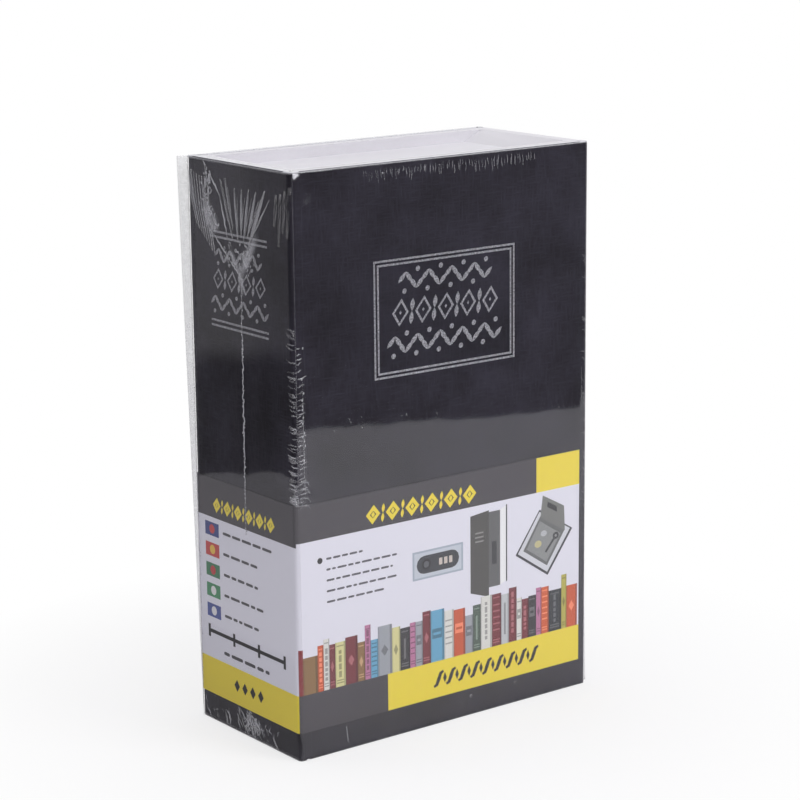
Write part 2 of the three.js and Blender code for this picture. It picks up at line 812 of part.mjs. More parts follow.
function resetSlider() {
  const low = resetZ - (RESET_LENGTH + RESET_TRAVEL) / 2;
  const foot = [low, low + RESET_LENGTH];
  const shoe = cuboid(around(0, RESET_WIDTH), [resetFloor + RESET_GAP, caseBack], foot);
  const nub = cuboid(
    around(0, RESET_WIDTH * 0.8),
    [caseBack - RESET_GAP, caseBack + RESET_NUB],
    inset(foot, RESET_LENGTH / 4),
  );
  return shoe.add(nub);
}

// Knob, spindle, square for the cam and stud for the nut, in one turned piece
function knob() {
  const grip = plate(
    rectangle(around(0, GRIP_WIDTH), around(knobZ, GRIP_LENGTH), GRIP_WIDTH / 3),
    [knobFront, knobBack - KNOB_DISC / 2],
  );
  const disc = levelRod([0, knobZ], KNOB_RADIUS, [knobBack - KNOB_DISC, knobBack]);
  const spindle = levelRod([0, knobZ], SPINDLE_RADIUS, [knobBack - KNOB_DISC / 2, camFace]);
  const square = cuboid(
    around(0, CAM_SQUARE),
    [camFace - CAM_THICKNESS, camBack],
    around(knobZ, CAM_SQUARE),
  );
  const stud = levelRod(
    [0, knobZ],
    STUD_RADIUS,
    [camFace, camBack + NUT_THICKNESS + STUD_PAST_NUT],
    SMALL_ROUND,
  );
  return joined([grip, disc, spindle, square, stud]);
}

// The cam points up at rest and turns to the box wall to lock
function latchCam() {
  const shape = outline([
    [-CAM_WIDTH / 2, knobZ - CAM_TAIL, CAM_WIDTH / 3],
    [CAM_WIDTH / 2, knobZ - CAM_TAIL, CAM_WIDTH / 3],
    [CAM_WIDTH / 2, knobZ + camReach, CAM_WIDTH / 4],
    [-CAM_WIDTH / 2, knobZ + camReach, CAM_WIDTH / 4],
  ]);
  const hole = CAM_SQUARE + 2 * CAM_SQUARE_FIT;
  const square = cuboid(
    around(0, hole),
    [camFace - PAST, camBack + PAST],
    around(knobZ, hole),
  );
  return plate(shape, [camFace, camBack]).subtract(square);
}

function camNut() {
  const span = [camBack, camBack + NUT_THICKNESS];
  const hexagon = levelRod([0, knobZ], NUT_RADIUS, span, 6);
  const bore = levelRod([0, knobZ], STUD_RADIUS + SCREW_FIT, inset(span, -PAST), SMALL_ROUND);
  return hexagon.subtract(bore);
}

// A pan-head screw with the underside of its head at y = 0, pointing along -Y
function panHeadScrew() {
  const tip = lidFace - LOCK_SCREW_BITE - earBack;
  return turned([
    [0, tip],
    [LOCK_SCREW_RADIUS, tip],
    [LOCK_SCREW_RADIUS, 0],
    [LOCK_SCREW_HEAD, 0],
    [LOCK_SCREW_HEAD, LOCK_SCREW_HEAD_HEIGHT / 2],
    [LOCK_SCREW_HEAD * 0.7, LOCK_SCREW_HEAD_HEIGHT],
    [0, LOCK_SCREW_HEAD_HEIGHT],
  ]);
}

function material(color, roughness, metalness = 0) {
  return new THREE.MeshStandardMaterial({ color, roughness, metalness });
}

const bookCloth = () => material(0x2b2932, 0.45);
const greyBoard = () => material(0x8b857b, 0.9);
const whitePaper = () => material(0xf1f0ee, 0.8);
const bandPaper = () => material(0x5c585f, 0.35);
const pageWhite = () => material(0xe3e1e6, 0.5);
const greyEnamel = () => material(0x77797b, 0.5, 0.2);
const darkCasting = () => material(0x35363a, 0.4, 0.3);
const blackPlastic = () => material(0x17171a, 0.35);
const brightSteel = () => material(0xb9bbbe, 0.3, 0.9);
const springSteel = () => material(0x9a9ca3, 0.35, 0.9);

function mesh(name, made, look, position = [0, 0, 0]) {
  const piece = new THREE.Mesh(geometryOf(made), look);
  piece.name = name;
  piece.position.set(...position);
  return piece;
}

function group(...members) {
  return new THREE.Group().add(...members);
}

function spineAndBack() {
  return group(
    mesh("spine_board", spineBoard(), greyBoard()),
    mesh("back_board", coverBoard(1), greyBoard()),
    mesh("spine_back_cloth", spineAndBackCloth(), bookCloth()),
    mesh("front_joint_cloth", jointStrip(-1, [spineInside, boardStart]), bookCloth()),
    mesh("back_endpaper", endpaper(1), whitePaper()),
    mesh("band_spine_back", bandOnSpineAndBack(), bandPaper()),
  );
}

function frontCover() {
  return group(
    mesh("front_board", coverBoard(-1), greyBoard()),
    mesh("front_cover_cloth", coverSkin(-1), bookCloth()),
    mesh("front_endpaper", endpaper(-1), whitePaper()),
    mesh("band_front", bandOnFront(), bandPaper()),
  );
}

function cashBox() {
  const screws = atTrayScrews((x, z) => [x, flangeFace, z]).map((place, i) => {
    return mesh(`tray_screw_${i + 1}`, countersunkScrew(), brightSteel(), place);
  });
  return group(
    mesh("page_block", pageBlock(), pageWhite()),
    mesh("box_tray", boxTray(), greyEnamel()),
    mesh("hinge_pin", hingePin(), brightSteel()),
    mesh("strike_bracket", strike(), brightSteel()),
    ...screws,
  );
}

function lock() {
  const wheels = wheelZ.map((z, i) => {
    return mesh(`number_wheel_${i + 1}`, numberWheel(), blackPlastic(), [0, wheelY, z]);
  });
  const screws = lockScrewHeights().map((z, i) => {
    return mesh(`lock_screw_${i + 1}`, panHeadScrew(), brightSteel(), [0, earBack, z]);
  });
  const parts = group(
    mesh("lock_bezel", lockBezel(), darkCasting()),
    mesh("lock_case", lockCase(), darkCasting()),
    mesh("wheel_axle", wheelAxle(), brightSteel()),
    mesh("detent_spring", detentSpring(), springSteel()),
    mesh("reset_slider", resetSlider(), brightSteel()),
    mesh("knob", knob(), darkCasting()),
    mesh("latch_cam", latchCam(), brightSteel()),
    mesh("cam_nut", camNut(), brightSteel()),
    ...wheels,
    ...screws,
  );
  parts.position.set(lockX, 0, LOCK_HEIGHT);
  return parts;
}

function lid() {
  return group(mesh("box_lid", boxLid(), greyEnamel()), lock());
}

export default group(spineAndBack(), frontCover(), cashBox(), lid());
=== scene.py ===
"""A book diversion safe in its clear shrink film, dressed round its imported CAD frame.

Lengths are in millimetres until a mesh is made. On the front, u runs along +X and v along +Z; on
the spine, u runs along -Y and v along +Z; on the back, u runs along -X and v along +Z.
"""
import json
import math
import random

import bmesh
import bpy
import numpy as np
from mathutils import Matrix, Vector, noise


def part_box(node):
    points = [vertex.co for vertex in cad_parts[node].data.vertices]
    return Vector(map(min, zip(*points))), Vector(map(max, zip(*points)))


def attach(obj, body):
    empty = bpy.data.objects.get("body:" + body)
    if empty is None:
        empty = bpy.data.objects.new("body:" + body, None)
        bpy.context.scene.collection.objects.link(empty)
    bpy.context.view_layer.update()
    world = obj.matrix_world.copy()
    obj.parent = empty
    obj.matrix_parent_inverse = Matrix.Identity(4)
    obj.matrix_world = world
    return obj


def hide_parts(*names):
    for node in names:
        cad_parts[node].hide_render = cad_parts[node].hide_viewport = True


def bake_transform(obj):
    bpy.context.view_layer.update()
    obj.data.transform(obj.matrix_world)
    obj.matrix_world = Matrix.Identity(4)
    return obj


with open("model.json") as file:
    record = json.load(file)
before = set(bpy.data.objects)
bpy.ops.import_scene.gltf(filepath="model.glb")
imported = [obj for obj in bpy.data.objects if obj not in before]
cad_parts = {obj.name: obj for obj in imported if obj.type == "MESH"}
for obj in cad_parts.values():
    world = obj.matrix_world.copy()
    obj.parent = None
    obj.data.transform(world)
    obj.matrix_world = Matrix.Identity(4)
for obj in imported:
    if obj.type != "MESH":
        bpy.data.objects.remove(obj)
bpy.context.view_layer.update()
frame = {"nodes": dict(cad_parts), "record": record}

MM = 0.001
MIX_A, MIX_B, MIX_RESULT = 6, 7, 2  # a Mix node's colour sockets
WHITE = (1, 1, 1, 1)


def cad_box(node):
    low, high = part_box(node)
    return Vector(low) / MM, Vector(high) / MM


def middle_of(node):
    return [(low + high) / 2 for low, high in zip(*cad_box(node))]


RECORD = frame["record"]
SLOT_OF = {part["node"]: part["material_slot"] for part in RECORD["subparts"]}
BODY_OF = {node: body for body, nodes in RECORD["behaviour"]["bodies"].items() for node in nodes}

COVER_HIGH = cad_box("front_cover_cloth")[1]
BACK_LOW, BACK_HIGH = cad_box("spine_back_cloth")
BAND_HIGH = cad_box("band_front")[1]
WRAP_LOW, WRAP_HIGH = cad_box("band_spine_back")
JOINT_LOW, JOINT_HIGH = cad_box("front_joint_cloth")
BLOCK_LOW, BLOCK_HIGH = cad_box("page_block")

HEIGHT = COVER_HIGH.z
FORE_EDGE = COVER_HIGH.x
BAND_Y = WRAP_HIGH.y  # paper band's outer face from the middle plane
CLOTH_Y = BACK_HIGH.y  # cloth's outer face from the middle plane
SPINE_X = WRAP_LOW.x
BAND_FOOT, BAND_TOP = WRAP_LOW.z, WRAP_HIGH.z
BAND_END = BAND_HIGH.x
BAND_CORNER = 1.6  # rounding of the band at the spine's upright edges
CORNER_ARC = 2.6  # its length round one corner
JOINT_CUTS = [JOINT_LOW.x + (JOINT_HIGH.x - JOINT_LOW.x) * i / 6 for i in range(7)]

# Printed band
STRIP_FOOT = 68.8  # dark strip along the band's top
TILE_START = 36.2  # yellow tile at the strip's right end
BASE_TOP = 21.0  # dark and yellow base stripes
BANNER_START = -24.0  # yellow stripe's left end on the front
INK = 0.01  # thickness of one layer of print
FOIL = 0.03  # thickness of the silver foil
MARK = 0.03  # thickness of the white marks on the lock

# Clear film
FILM = 0.03  # its thickness
FILM_OVER_BAND = 0.1  # film's height above the paper band
FILM_OVER_CLOTH = 0.28  # its height above the cloth at head and tail
FILM_CORNER = 1.2  # its rounding at the upright corners
FILM_FLANGE = 3.4  # film folded over the boards' edges
FILM_FOLD = 0.9  # rounding of the film over the head edges
FILM_FOOT = 0.15  # film starts above the table
FILM_INDEX = 1.5  # its index of refraction
FRONT_FILM_START = SPINE_X + FILM_CORNER
SHARP = math.radians(35)  # edges bent by more than this are sharp


def srgb(red, green, blue):
    """A colour of 0 to 255 as the linear numbers that a shader takes."""
    shares = (c / 255 for c in (red, green, blue))
    return tuple(c / 12.92 if c <= 0.04045 else ((c + 0.055) / 1.055) ** 2.4 for c in shares) + (1,)


DARK_GREY = srgb(72, 68, 74)
PANEL_WHITE = srgb(238, 237, 248)
YELLOW = srgb(248, 226, 64)
TEXT_GREY = srgb(96, 94, 102)
NEAR_BLACK = srgb(40, 38, 42)
HEADLINE_EDGE = srgb(52, 46, 30)
BOOK_COLOURS = [
    srgb(*shade)
    for shade in (
        (150, 46, 52), (58, 56, 60), (196, 186, 84), (128, 52, 60), (48, 52, 58), (62, 96, 176),
        (196, 190, 110), (222, 104, 56), (168, 172, 180), (232, 231, 226), (226, 220, 160),
        (96, 52, 46), (214, 96, 54), (206, 208, 212), (110, 176, 210), (200, 130, 168),
        (150, 116, 74), (88, 104, 92),
    )
]


# Meshes and modifiers


def new_object(name, mesh, body=None, slot=None):
    piece = bpy.data.objects.new(name, mesh)
    bpy.context.scene.collection.objects.link(piece)
    if body:
        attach(piece, body)
    return piece


def mesh_of(name, vertices, faces):
    """A mesh from points in millimetres."""
    mesh = bpy.data.meshes.new(name)
    mesh.from_pydata([tuple(c * MM for c in v) for v in vertices], [], faces)
    mesh.validate()
    mesh.update()
    return mesh


def grid_faces(columns, rows, first=0):
    """Faces of a net of points that are listed column by column."""
    starts = [first + i * rows + j for i in range(columns - 1) for j in range(rows - 1)]
    return [[a, a + rows, a + rows + 1, a + 1] for a in starts]


def tube_faces(columns, ring, first=0):
    """Faces of a closed tube whose points are listed ring by ring."""
    faces = []
    for start in range(first, first + (columns - 1) * ring, ring):
        for j in range(ring):
            a, b = start + j, start + (j + 1) % ring
            faces.append([a, b, b + ring, a + ring])
    ends = [first + j for j in range(ring)]
    return [*faces, [end + (columns - 1) * ring for end in ends], ends[::-1]]


def turned_over(faces):
    """The same faces, looking the other way."""
    return [[face[0], *face[:0:-1]] for face in faces]


def shade_smooth(mesh):
    for polygon in mesh.polygons:
        polygon.use_smooth = True


def ease_edges(piece, width, segments=2):
    """Rounds a piece's sharp edges by a width in millimetres."""
    bevel = piece.modifiers.new("eased_edges", "BEVEL")
    bevel.width = width * MM
    bevel.segments = segments
    bevel.limit_method = "ANGLE"
    bevel.angle_limit = SHARP
    bevel.harden_normals = True
    bevel.use_clamp_overlap = True


def worked_copy(node, name, edge=0):
    """A copy of a CAD node, with eased edges or none, which stands for that node."""
    made = bmesh.new()
    made.from_mesh(frame["nodes"][node].data)
    bmesh.ops.remove_doubles(made, verts=made.verts, dist=1e-6)
    one_degree = math.radians(1)
    bmesh.ops.dissolve_limit(made, angle_limit=one_degree, verts=made.verts, edges=made.edges)
    mesh = bpy.data.meshes.new(name)
    made.to_mesh(mesh)
    made.free()
    shade_smooth(mesh)
    mesh.set_sharp_from_angle(angle=SHARP)
    mesh.materials.append(MATERIALS[SLOT_OF[node]])
    piece = new_object(name, mesh, BODY_OF[node], SLOT_OF[node])
    if edge:
        ease_edges(piece, edge)
    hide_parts(node)
    return piece


# Flat outlines, as lists of (u, v) in millimetres, anticlockwise


def rectangle(u0, u1, v0, v1):
    return [(u0, v0), (u1, v0), (u1, v1), (u0, v1)]


def oval(u, v, across, along, points=14):
    turns = [2 * math.pi * i / points for i in range(points)]
    return [(u + across * math.cos(t), v + along * math.sin(t)) for t in turns]


def pill(u0, u1, v0, v1, points=6):
    """A bar with round ends."""
    radius, middle = (v1 - v0) / 2, (v0 + v1) / 2
    made = []
    for centre, start in ((u1 - radius, -90), (u0 + radius, 90)):
        for i in range(points + 1):
            t = math.radians(start + 180 * i / points)
            made.append((centre + radius * math.cos(t), middle + radius * math.sin(t)))
    return made


def leaf(u, v, length, width, degrees, points=5):
    """A pointed oval from its stalk at (u, v)."""
    sides = []
    for side in (-1, 1):
        steps = [i / points for i in range(points)]
        if side > 0:
            steps = [1 - s for s in steps]
        sides += [(length * s, side * width / 2 * math.sin(math.pi * s)) for s in steps]
    turn = math.radians(degrees)
    c, s = math.cos(turn), math.sin(turn)
    return [(u + a * c - b * s, v + a * s + b * c) for a, b in sides]


def lozenge(u, v, across, along):
    return [(u - across, v), (u, v - along), (u + across, v), (u, v + along)]


def ways(points):
    """The direction of a line at each of its points."""
    around = [points[0], *points, points[-1]]
    return [(Vector(b) - Vector(a)).normalized() for a, b in zip(around, around[2:])]


def ribbon(points, widths):
    """A strip along a line of points, with its width at each."""
    left, right = [], []
    for (u, v), way, width in zip(points, ways(points), widths):
        half = width / 2
        left.append((u - way.y * half, v + way.x * half))
        right.append((u + way.y * half, v - way.x * half))
    return right + left[::-1]


def leaning(outline, lean, around):
    """An outline sheared to the right, as a slanted letter is."""
    return [(u + lean * (v - around), v) for u, v in outline]


# Places on the faces of the book: (u, v, height above the face) to (x, y, z)


def on_front(reach):
    return lambda u, v, h: (u, -reach - h, v)


def on_spine(reach):
    return lambda u, v, h: (-reach - h, -u, v)


def on_back(reach):
    return lambda u, v, h: (-u, reach + h, v)


class Art:
    """Flat shapes on one face, each a thin closed prism with its own colour."""

    def __init__(self, place, layer_height):
        self.place = place
        self.layer_height = layer_height
        self.vertices = []
        self.faces = []
        self.colours = []

    def add(self, outline, colour=WHITE, layer=1):
        first, count = len(self.vertices), len(outline)
        top = layer * self.layer_height
        self.vertices += [self.place(u, v, 0) for u, v in outline]
        self.vertices += [self.place(u, v, top) for u, v in outline]
        self.faces += tube_faces(2, count, first)
        self.colours += [colour] * (count + 2)

    def bar(self, u0, u1, v0, v1, colour=WHITE, layer=1):
        self.add(rectangle(u0, u1, v0, v1), colour, layer)

    def add_ring(self, outer, inner, colour=WHITE, layer=1):
        """The shape between two outlines that have as many points."""
        first, count = len(self.vertices), len(outer)
        top = layer * self.layer_height
        for outline, height in ((outer, 0), (inner, 0), (outer, top), (inner, top)):
            self.vertices += [self.place(u, v, height) for u, v in outline]
        loops = [[first + k * count + i for i in range(count)] for k in range(4)]
        for a, b in ((2, 3), (1, 0), (0, 2), (3, 1)):
            for i in range(count):
                j = (i + 1) % count
                self.faces.append([loops[a][i], loops[a][j], loops[b][j], loops[b][i]])
        self.colours += [colour] * (4 * count)

    def piece(self, name, body, slot, material):
        mesh = mesh_of(name, self.vertices, self.faces)
        colours = mesh.color_attributes.new("ink", "FLOAT_COLOR", "CORNER")
        for polygon in mesh.polygons:
            for loop in polygon.loop_indices:
                colours.data[loop].color = self.colours[polygon.index]
        mesh.materials.append(material)
        return new_object(name, mesh, body, slot)


# Materials


def new_material(name):
    """A material with its node tree and its Principled node."""
    material = bpy.data.materials.new(name)
    material.use_nodes = True
    tree = material.node_tree
    return material, tree, tree.nodes["Principled BSDF"]


def feed(tree, node, inputs):
    """Gives each input of a node a value, or a link from another node's output."""
    for name, value in inputs.items():
        if isinstance(value, bpy.types.NodeSocket):
            tree.links.new(value, node.inputs[name])
        else:
            node.inputs[name].default_value = value


def added(tree, kind, inputs, **settings):
    """A new node with its settings and inputs."""
    made = tree.nodes.new(f"ShaderNode{kind}")
    for name, value in settings.items():
        setattr(made, name, value)
    feed(tree, made, inputs)
    return made


def place_in_mm(tree, scale=(1, 1, 1)):
    """Object coordinates in millimetres, stretched by a scale."""
    where = added(tree, "TexCoord", {}).outputs["Object"]
    inputs = {"Vector": where, "Scale": [s / MM for s in scale]}
    return added(tree, "Mapping", inputs).outputs["Vector"]


def noise_of(tree, vector, scale, detail=3):
    inputs = {"Vector": vector, "Scale": scale, "Detail": detail}
    return added(tree, "TexNoise", inputs).outputs["Fac"]


def ranged(tree, value, low, high, start=0.3, end=0.7):
    inputs = {"Value": value, "From Min": start, "From Max": end, "To Min": low, "To Max": high}
    return added(tree, "MapRange", inputs).outputs["Result"]


def two_colours(tree, factor, first, second, blend="MIX"):
    inputs = {"Factor": factor, MIX_A: first, MIX_B: second}
    made = added(tree, "Mix", inputs, data_type="RGBA", blend_type=blend)
    return made.outputs[MIX_RESULT]


def two_shaders(tree, share, first, second):
    return added(tree, "MixShader", {0: share, 1: first, 2: second}).outputs[0]


def combined(tree, operation, first, second):
    return added(tree, "Math", {0: first, 1: second}, operation=operation).outputs[0]


def show(tree, shader):
    feed(tree, tree.nodes["Material Output"], {"Surface": shader})


def bump(tree, shader, height, depth):
    """Relief of a depth in millimetres."""
    made = added(tree, "Bump", {"Height": height, "Distance": depth * MM, "Strength": 1})
    feed(tree, shader, {"Normal": made.outputs["Normal"]})


def dull(shade, share):
    return tuple(c * share for c in shade[:3]) + (1,)


def grained(name, colour, roughness, grain, relief, spread, metallic=0.0, stretch=(1, 1, 1)):
    """A surface with a fine grain: its size and relief in millimetres."""
    material, tree, shader = new_material(name)
    where = place_in_mm(tree, stretch)
    fine = noise_of(tree, where, 1 / grain, 4)
    broad = noise_of(tree, where, 0.03, 2)
    mixed = combined(tree, "ADD", combined(tree, "MULTIPLY", fine, 0.5), broad)
    factor = ranged(tree, mixed, 0, 1, 0.5, 1.0)
    feed(tree, shader, {
        "Base Color": two_colours(
            tree, factor, dull(colour, 1 - spread), dull(colour, 1 + spread / 2)
        ),
        "Roughness": ranged(tree, fine, roughness * 0.85, roughness * 1.15),
        "Metallic": metallic,
    })
    bump(tree, shader, fine, relief)
    return material


def book_cloth():
    """Coated black cloth with a fine, slightly slubbed weave."""
    material, tree, shader = new_material("book_cloth")
    along, across = place_in_mm(tree, (1, 1, 0.12)), place_in_mm(tree, (0.12, 0.12, 1))
    threads = [noise_of(tree, thread, 1.9, 2) for thread in (along, across)]
    weave = combined(tree, "MAXIMUM", *threads)
    broad = noise_of(tree, place_in_mm(tree), 0.05, 3)
    factor = combined(tree, "ADD", combined(tree, "MULTIPLY", weave, 0.7), broad)
    factor = ranged(tree, factor, 0, 1, 0.65, 1.15)
    feed(tree, shader, {
        "Base Color": two_colours(tree, factor, srgb(32, 29, 38), srgb(55, 52, 65)),
        "Roughness": ranged(tree, weave, 0.62, 0.5),
        "Sheen Weight": 0.05,
        "Sheen Roughness": 0.4,
        "Specular IOR Level": 0.3,
    })
    bump(tree, shader, weave, 0.03)
    return material


def print_ink(name, shade=None):
    """Coated paper in one shade, or in the colours of the mesh's own ink attribute."""
    material, tree, shader = new_material(name)
    fibre = noise_of(tree, place_in_mm(tree), 2.5, 4)
    if shade is None:
        shade = added(tree, "VertexColor", {}, layer_name="ink").outputs["Color"]
    mottle = two_colours(tree, ranged(tree, fibre, 0, 1), dull(WHITE, 0.95), WHITE)
    feed(tree, shader, {
        "Base Color": two_colours(tree, 1, shade, mottle, "MULTIPLY"),
        "Roughness": ranged(tree, fibre, 0.34, 0.42),
        "Specular IOR Level": 0.35,
    })
    bump(tree, shader, fibre, 0.006)
    return material


def silver_foil():
    material, tree, shader = new_material("silver_foil")
    wear = noise_of(tree, place_in_mm(tree), 2.2, 3)
    factor = ranged(tree, wear, 0, 1, 0.38, 0.62)
    feed(tree, shader, {
        "Base Color": two_colours(tree, factor, srgb(150, 150, 156), srgb(232, 232, 238)),
        "Roughness": ranged(tree, wear, 0.48, 0.34),
        "Metallic": 0.65,
    })
    bump(tree, shader, wear, 0.01)
    return material


def brushed(name, colour, roughness=0.3):
    """Plated steel with fine lines along the height."""
    material, tree, shader = new_material(name)
    lines = noise_of(tree, place_in_mm(tree, (1, 1, 0.06)), 5, 3)
    feed(tree, shader, {
        "Base Color": two_colours(tree, ranged(tree, lines, 0, 1), dull(colour, 0.85), colour),
        "Roughness": ranged(tree, lines, roughness * 0.8, roughness * 1.2),
        "Metallic": 1,
    })
    bump(tree, shader, lines, 0.008)
    return material


def clear_film():
    """Shrink film: clear where it lies flat, and milky white where it is gathered, partly a painted
    highlight.
    """
    material, tree, milk_and_highlight_white = new_material("clear_film")
    inside = added(tree, "NewGeometry", {}).outputs["Backfacing"]
    inside = combined(tree, "MULTIPLY", inside, 1 / FILM_INDEX - FILM_INDEX)
    index = combined(tree, "ADD", inside, FILM_INDEX)
    fresnel = added(tree, "Fresnel", {"IOR": index}).outputs[0]
    clear = added(tree, "BsdfTransparent", {}).outputs[0]
    mirror = added(tree, "BsdfGlossy", {"Roughness": 0.035}).outputs[0]
    film = two_shaders(tree, fresnel, clear, mirror)
    # Milky white share: partly the whitening of gathered film, partly painted highlight on crests
    # and folds
    milk_and_highlight = added(tree, "Attribute", {}, attribute_name="milk_and_highlight").outputs["Fac"]
    streaks = noise_of(tree, place_in_mm(tree), 0.8, 3)
    amount = combined(tree, "MULTIPLY", milk_and_highlight, ranged(tree, streaks, 0.85, 1.1))
    feed(tree, milk_and_highlight_white, {"Base Color": srgb(226, 226, 232), "Roughness": 0.25})
    show(tree, two_shaders(tree, amount, film, milk_and_highlight_white.outputs["BSDF"]))
    return material


MATERIALS = {
    "book_cloth": book_cloth(),
    "grey_board": grained("grey_board", srgb(140, 132, 120), 0.9, 0.5, 0.03, 0.25),
    "white_paper": grained("white_paper", srgb(240, 239, 236), 0.8, 0.25, 0.012, 0.05),
    "band_paper": print_ink("band_stock", DARK_GREY),
    "page_white": grained("page_moulding", srgb(222, 220, 226), 0.45, 0.6, 0.008, 0.05),
    "grey_enamel": grained("grey_enamel", srgb(118, 120, 123), 0.45, 0.7, 0.02, 0.1),
    "dark_casting": grained("dark_casting", srgb(56, 57, 61), 0.4, 0.35, 0.012, 0.15, 0.35),
    "black_plastic": grained("black_plastic", srgb(24, 24, 27), 0.25, 0.5, 0.004, 0.15),
    "bright_steel": brushed("plated_steel", srgb(196, 198, 203)),
}
PAGES = grained("page_edges", srgb(226, 224, 226), 0.6, 0.4, 0.02, 0.1, stretch=(1, 4, 0.15))
WHITE_MARK = grained("white_mark", srgb(238, 238, 236), 0.4, 0.3, 0.003, 0.05)
SPRING = brushed("spring_steel", srgb(160, 163, 172), 0.35)
FOIL_SILVER = silver_foil()
INKS = print_ink("printed_paper")
FILM_CLEAR = clear_film()


# Covers, page block and steel box


def dress_frame():
    """Gives every CAD node its material, whether or not a worked copy stands for it."""
    for node, slot in SLOT_OF.items():
        materials = frame["nodes"][node].data.materials
        materials.clear()
        materials.append(SPRING if node == "detent_spring" else MATERIALS[slot])


def eased_nodes():
    """Copies of the CAD nodes whose edges catch the light, each with the width eased."""
    widths = {
        "front_cover_cloth": 0.3, "spine_back_cloth": 0.3, "page_block": 0.25, "box_tray": 0.15,
        "strike_bracket": 0.2, "box_lid": 0.2, "lock_bezel": 0.15, "lock_case": 0.15,
        "knob": 0.3, "latch_cam": 0.2,
        "number_wheel_1": 0.12, "number_wheel_2": 0.12, "number_wheel_3": 0.12,
    }
    for node, width in widths.items():
        worked_copy(node, f"{node}_eased", width)


def bend_with_cover(piece):
    """Bakes a piece's placing into its mesh."""
    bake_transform(piece)


def joint_cloth():
    """The cloth across the front joint."""
    reach, slope, rise, tuck, depth = 0.8, 0.3, 0.04, 0.03, 0.25
    x0, x1 = JOINT_LOW.x - reach, JOINT_HIGH.x + reach
    across = [x0, x0 + slope, *JOINT_CUTS, x1 - slope, x1]
    inner, low, high = JOINT_LOW.y + depth, JOINT_LOW.z, JOINT_HIGH.z
    vertices = []
    for x in across:
        outer = JOINT_LOW.y + (tuck if x in (x0, x1) else -rise)
        vertices += [(x, outer, high), (x, outer, low), (x, inner, low), (x, inner, high)]
    mesh = mesh_of("front_joint_bend", vertices, tube_faces(len(across), 4))
    mesh.materials.append(MATERIALS["book_cloth"])
    strip = new_object("front_joint_bend", mesh, slot="book_cloth")
    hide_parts("front_joint_cloth")
    bend_with_cover(strip)


def page_edges():
    """Fine moulded lines along the fore-edge, like the edges of pages."""
    columns, rows, sides, ends, depth = 181, 13, 0.9, 0.6, 0.6
    sunk, crest_least, crest_more, sway = 0.12, 0.05, 0.12, 0.03
    root = BLOCK_HIGH.x - depth
    rng = random.Random(7)
    heights = np.linspace(BLOCK_HIGH.z - ends, BLOCK_LOW.z + ends, rows)
    vertices = []
    for i, y in enumerate(np.linspace(BLOCK_LOW.y + sides, BLOCK_HIGH.y - sides, columns)):
        crest = crest_least + crest_more * rng.random() if i % 2 else 0.0
        drift = rng.uniform(-sway, sway)
        near = BLOCK_HIGH.x - sunk + crest
        vertices += [(near + drift * math.sin(z / 17 + i), y, z) for z in heights]
        vertices += [(root, y, z) for z in heights[::-1]]
    mesh = mesh_of("page_edges", vertices, tube_faces(columns, 2 * rows))
    mesh.materials.append(PAGES)
    new_object("page_edges", mesh, "book_body", "page_white")


def cross_recess(node, depth, face, outward):
    """A copy of a screw with a cross recess sunk into its head."""
    piece = worked_copy(node, f"{node}_cross")
    x, _, z = middle_of(node)
    recess = Art(lambda u, v, h: (x + u, face - outward * (h - depth), z + v), 2 * depth)
    for width, length in ((0.5, 2.2), (2.2, 0.5)):
        recess.bar(-width / 2, width / 2, -length / 2, length / 2)
    name = f"{node}_cross_recess"
    mesh = mesh_of(name, recess.vertices, recess.faces)
    made = bmesh.new()
    made.from_mesh(mesh)
    bmesh.ops.recalc_face_normals(made, faces=made.faces)
    made.to_mesh(mesh)
    made.free()
    cutter = new_object(name, mesh)
    boolean = piece.modifiers.new("recess", "BOOLEAN")
    boolean.operation = "DIFFERENCE"
    boolean.solver = "EXACT"
    boolean.use_self = True
    boolean.object = cutter
    graph = bpy.context.evaluated_depsgraph_get()
    cut = bpy.data.meshes.new_from_object(piece.evaluated_get(graph))
    piece.modifiers.clear()
    piece.data = cut
    bpy.data.objects.remove(cutter)
    ease_edges(piece, 0.06, 1)


def screws():
    for i in range(1, 5):
        node = f"tray_screw_{i}"
        cross_recess(node, 0.5, cad_box(node)[0].y, -1)
    for i in range(1, 3):
        node = f"lock_screw_{i}"
        cross_recess(node, 0.7, cad_box(node)[1].y, 1)


# Lock


def digit_mesh(digit, height, depth):
    """One digit as a flat solid round its own middle, in millimetres."""
    curve = bpy.data.curves.new(f"digit_{digit}", "FONT")
    curve.body = str(digit)
    curve.size = height * 1.4
    curve.extrude = depth / 2
    curve.align_x = "CENTER"
    curve.resolution_u = 3
    text = bpy.data.objects.new(f"digit_{digit}", curve)
    bpy.context.scene.collection.objects.link(text)
    graph = bpy.context.evaluated_depsgraph_get()
    mesh = bpy.data.meshes.new_from_object(text.evaluated_get(graph))
    bpy.data.objects.remove(text)
    bpy.data.curves.remove(curve)
    corners = [v.co for v in mesh.vertices]
    middle = (max(c.y for c in corners) + min(c.y for c in corners)) / 2
    mesh.transform(Matrix.Translation((0, -middle, 0)))
    return mesh


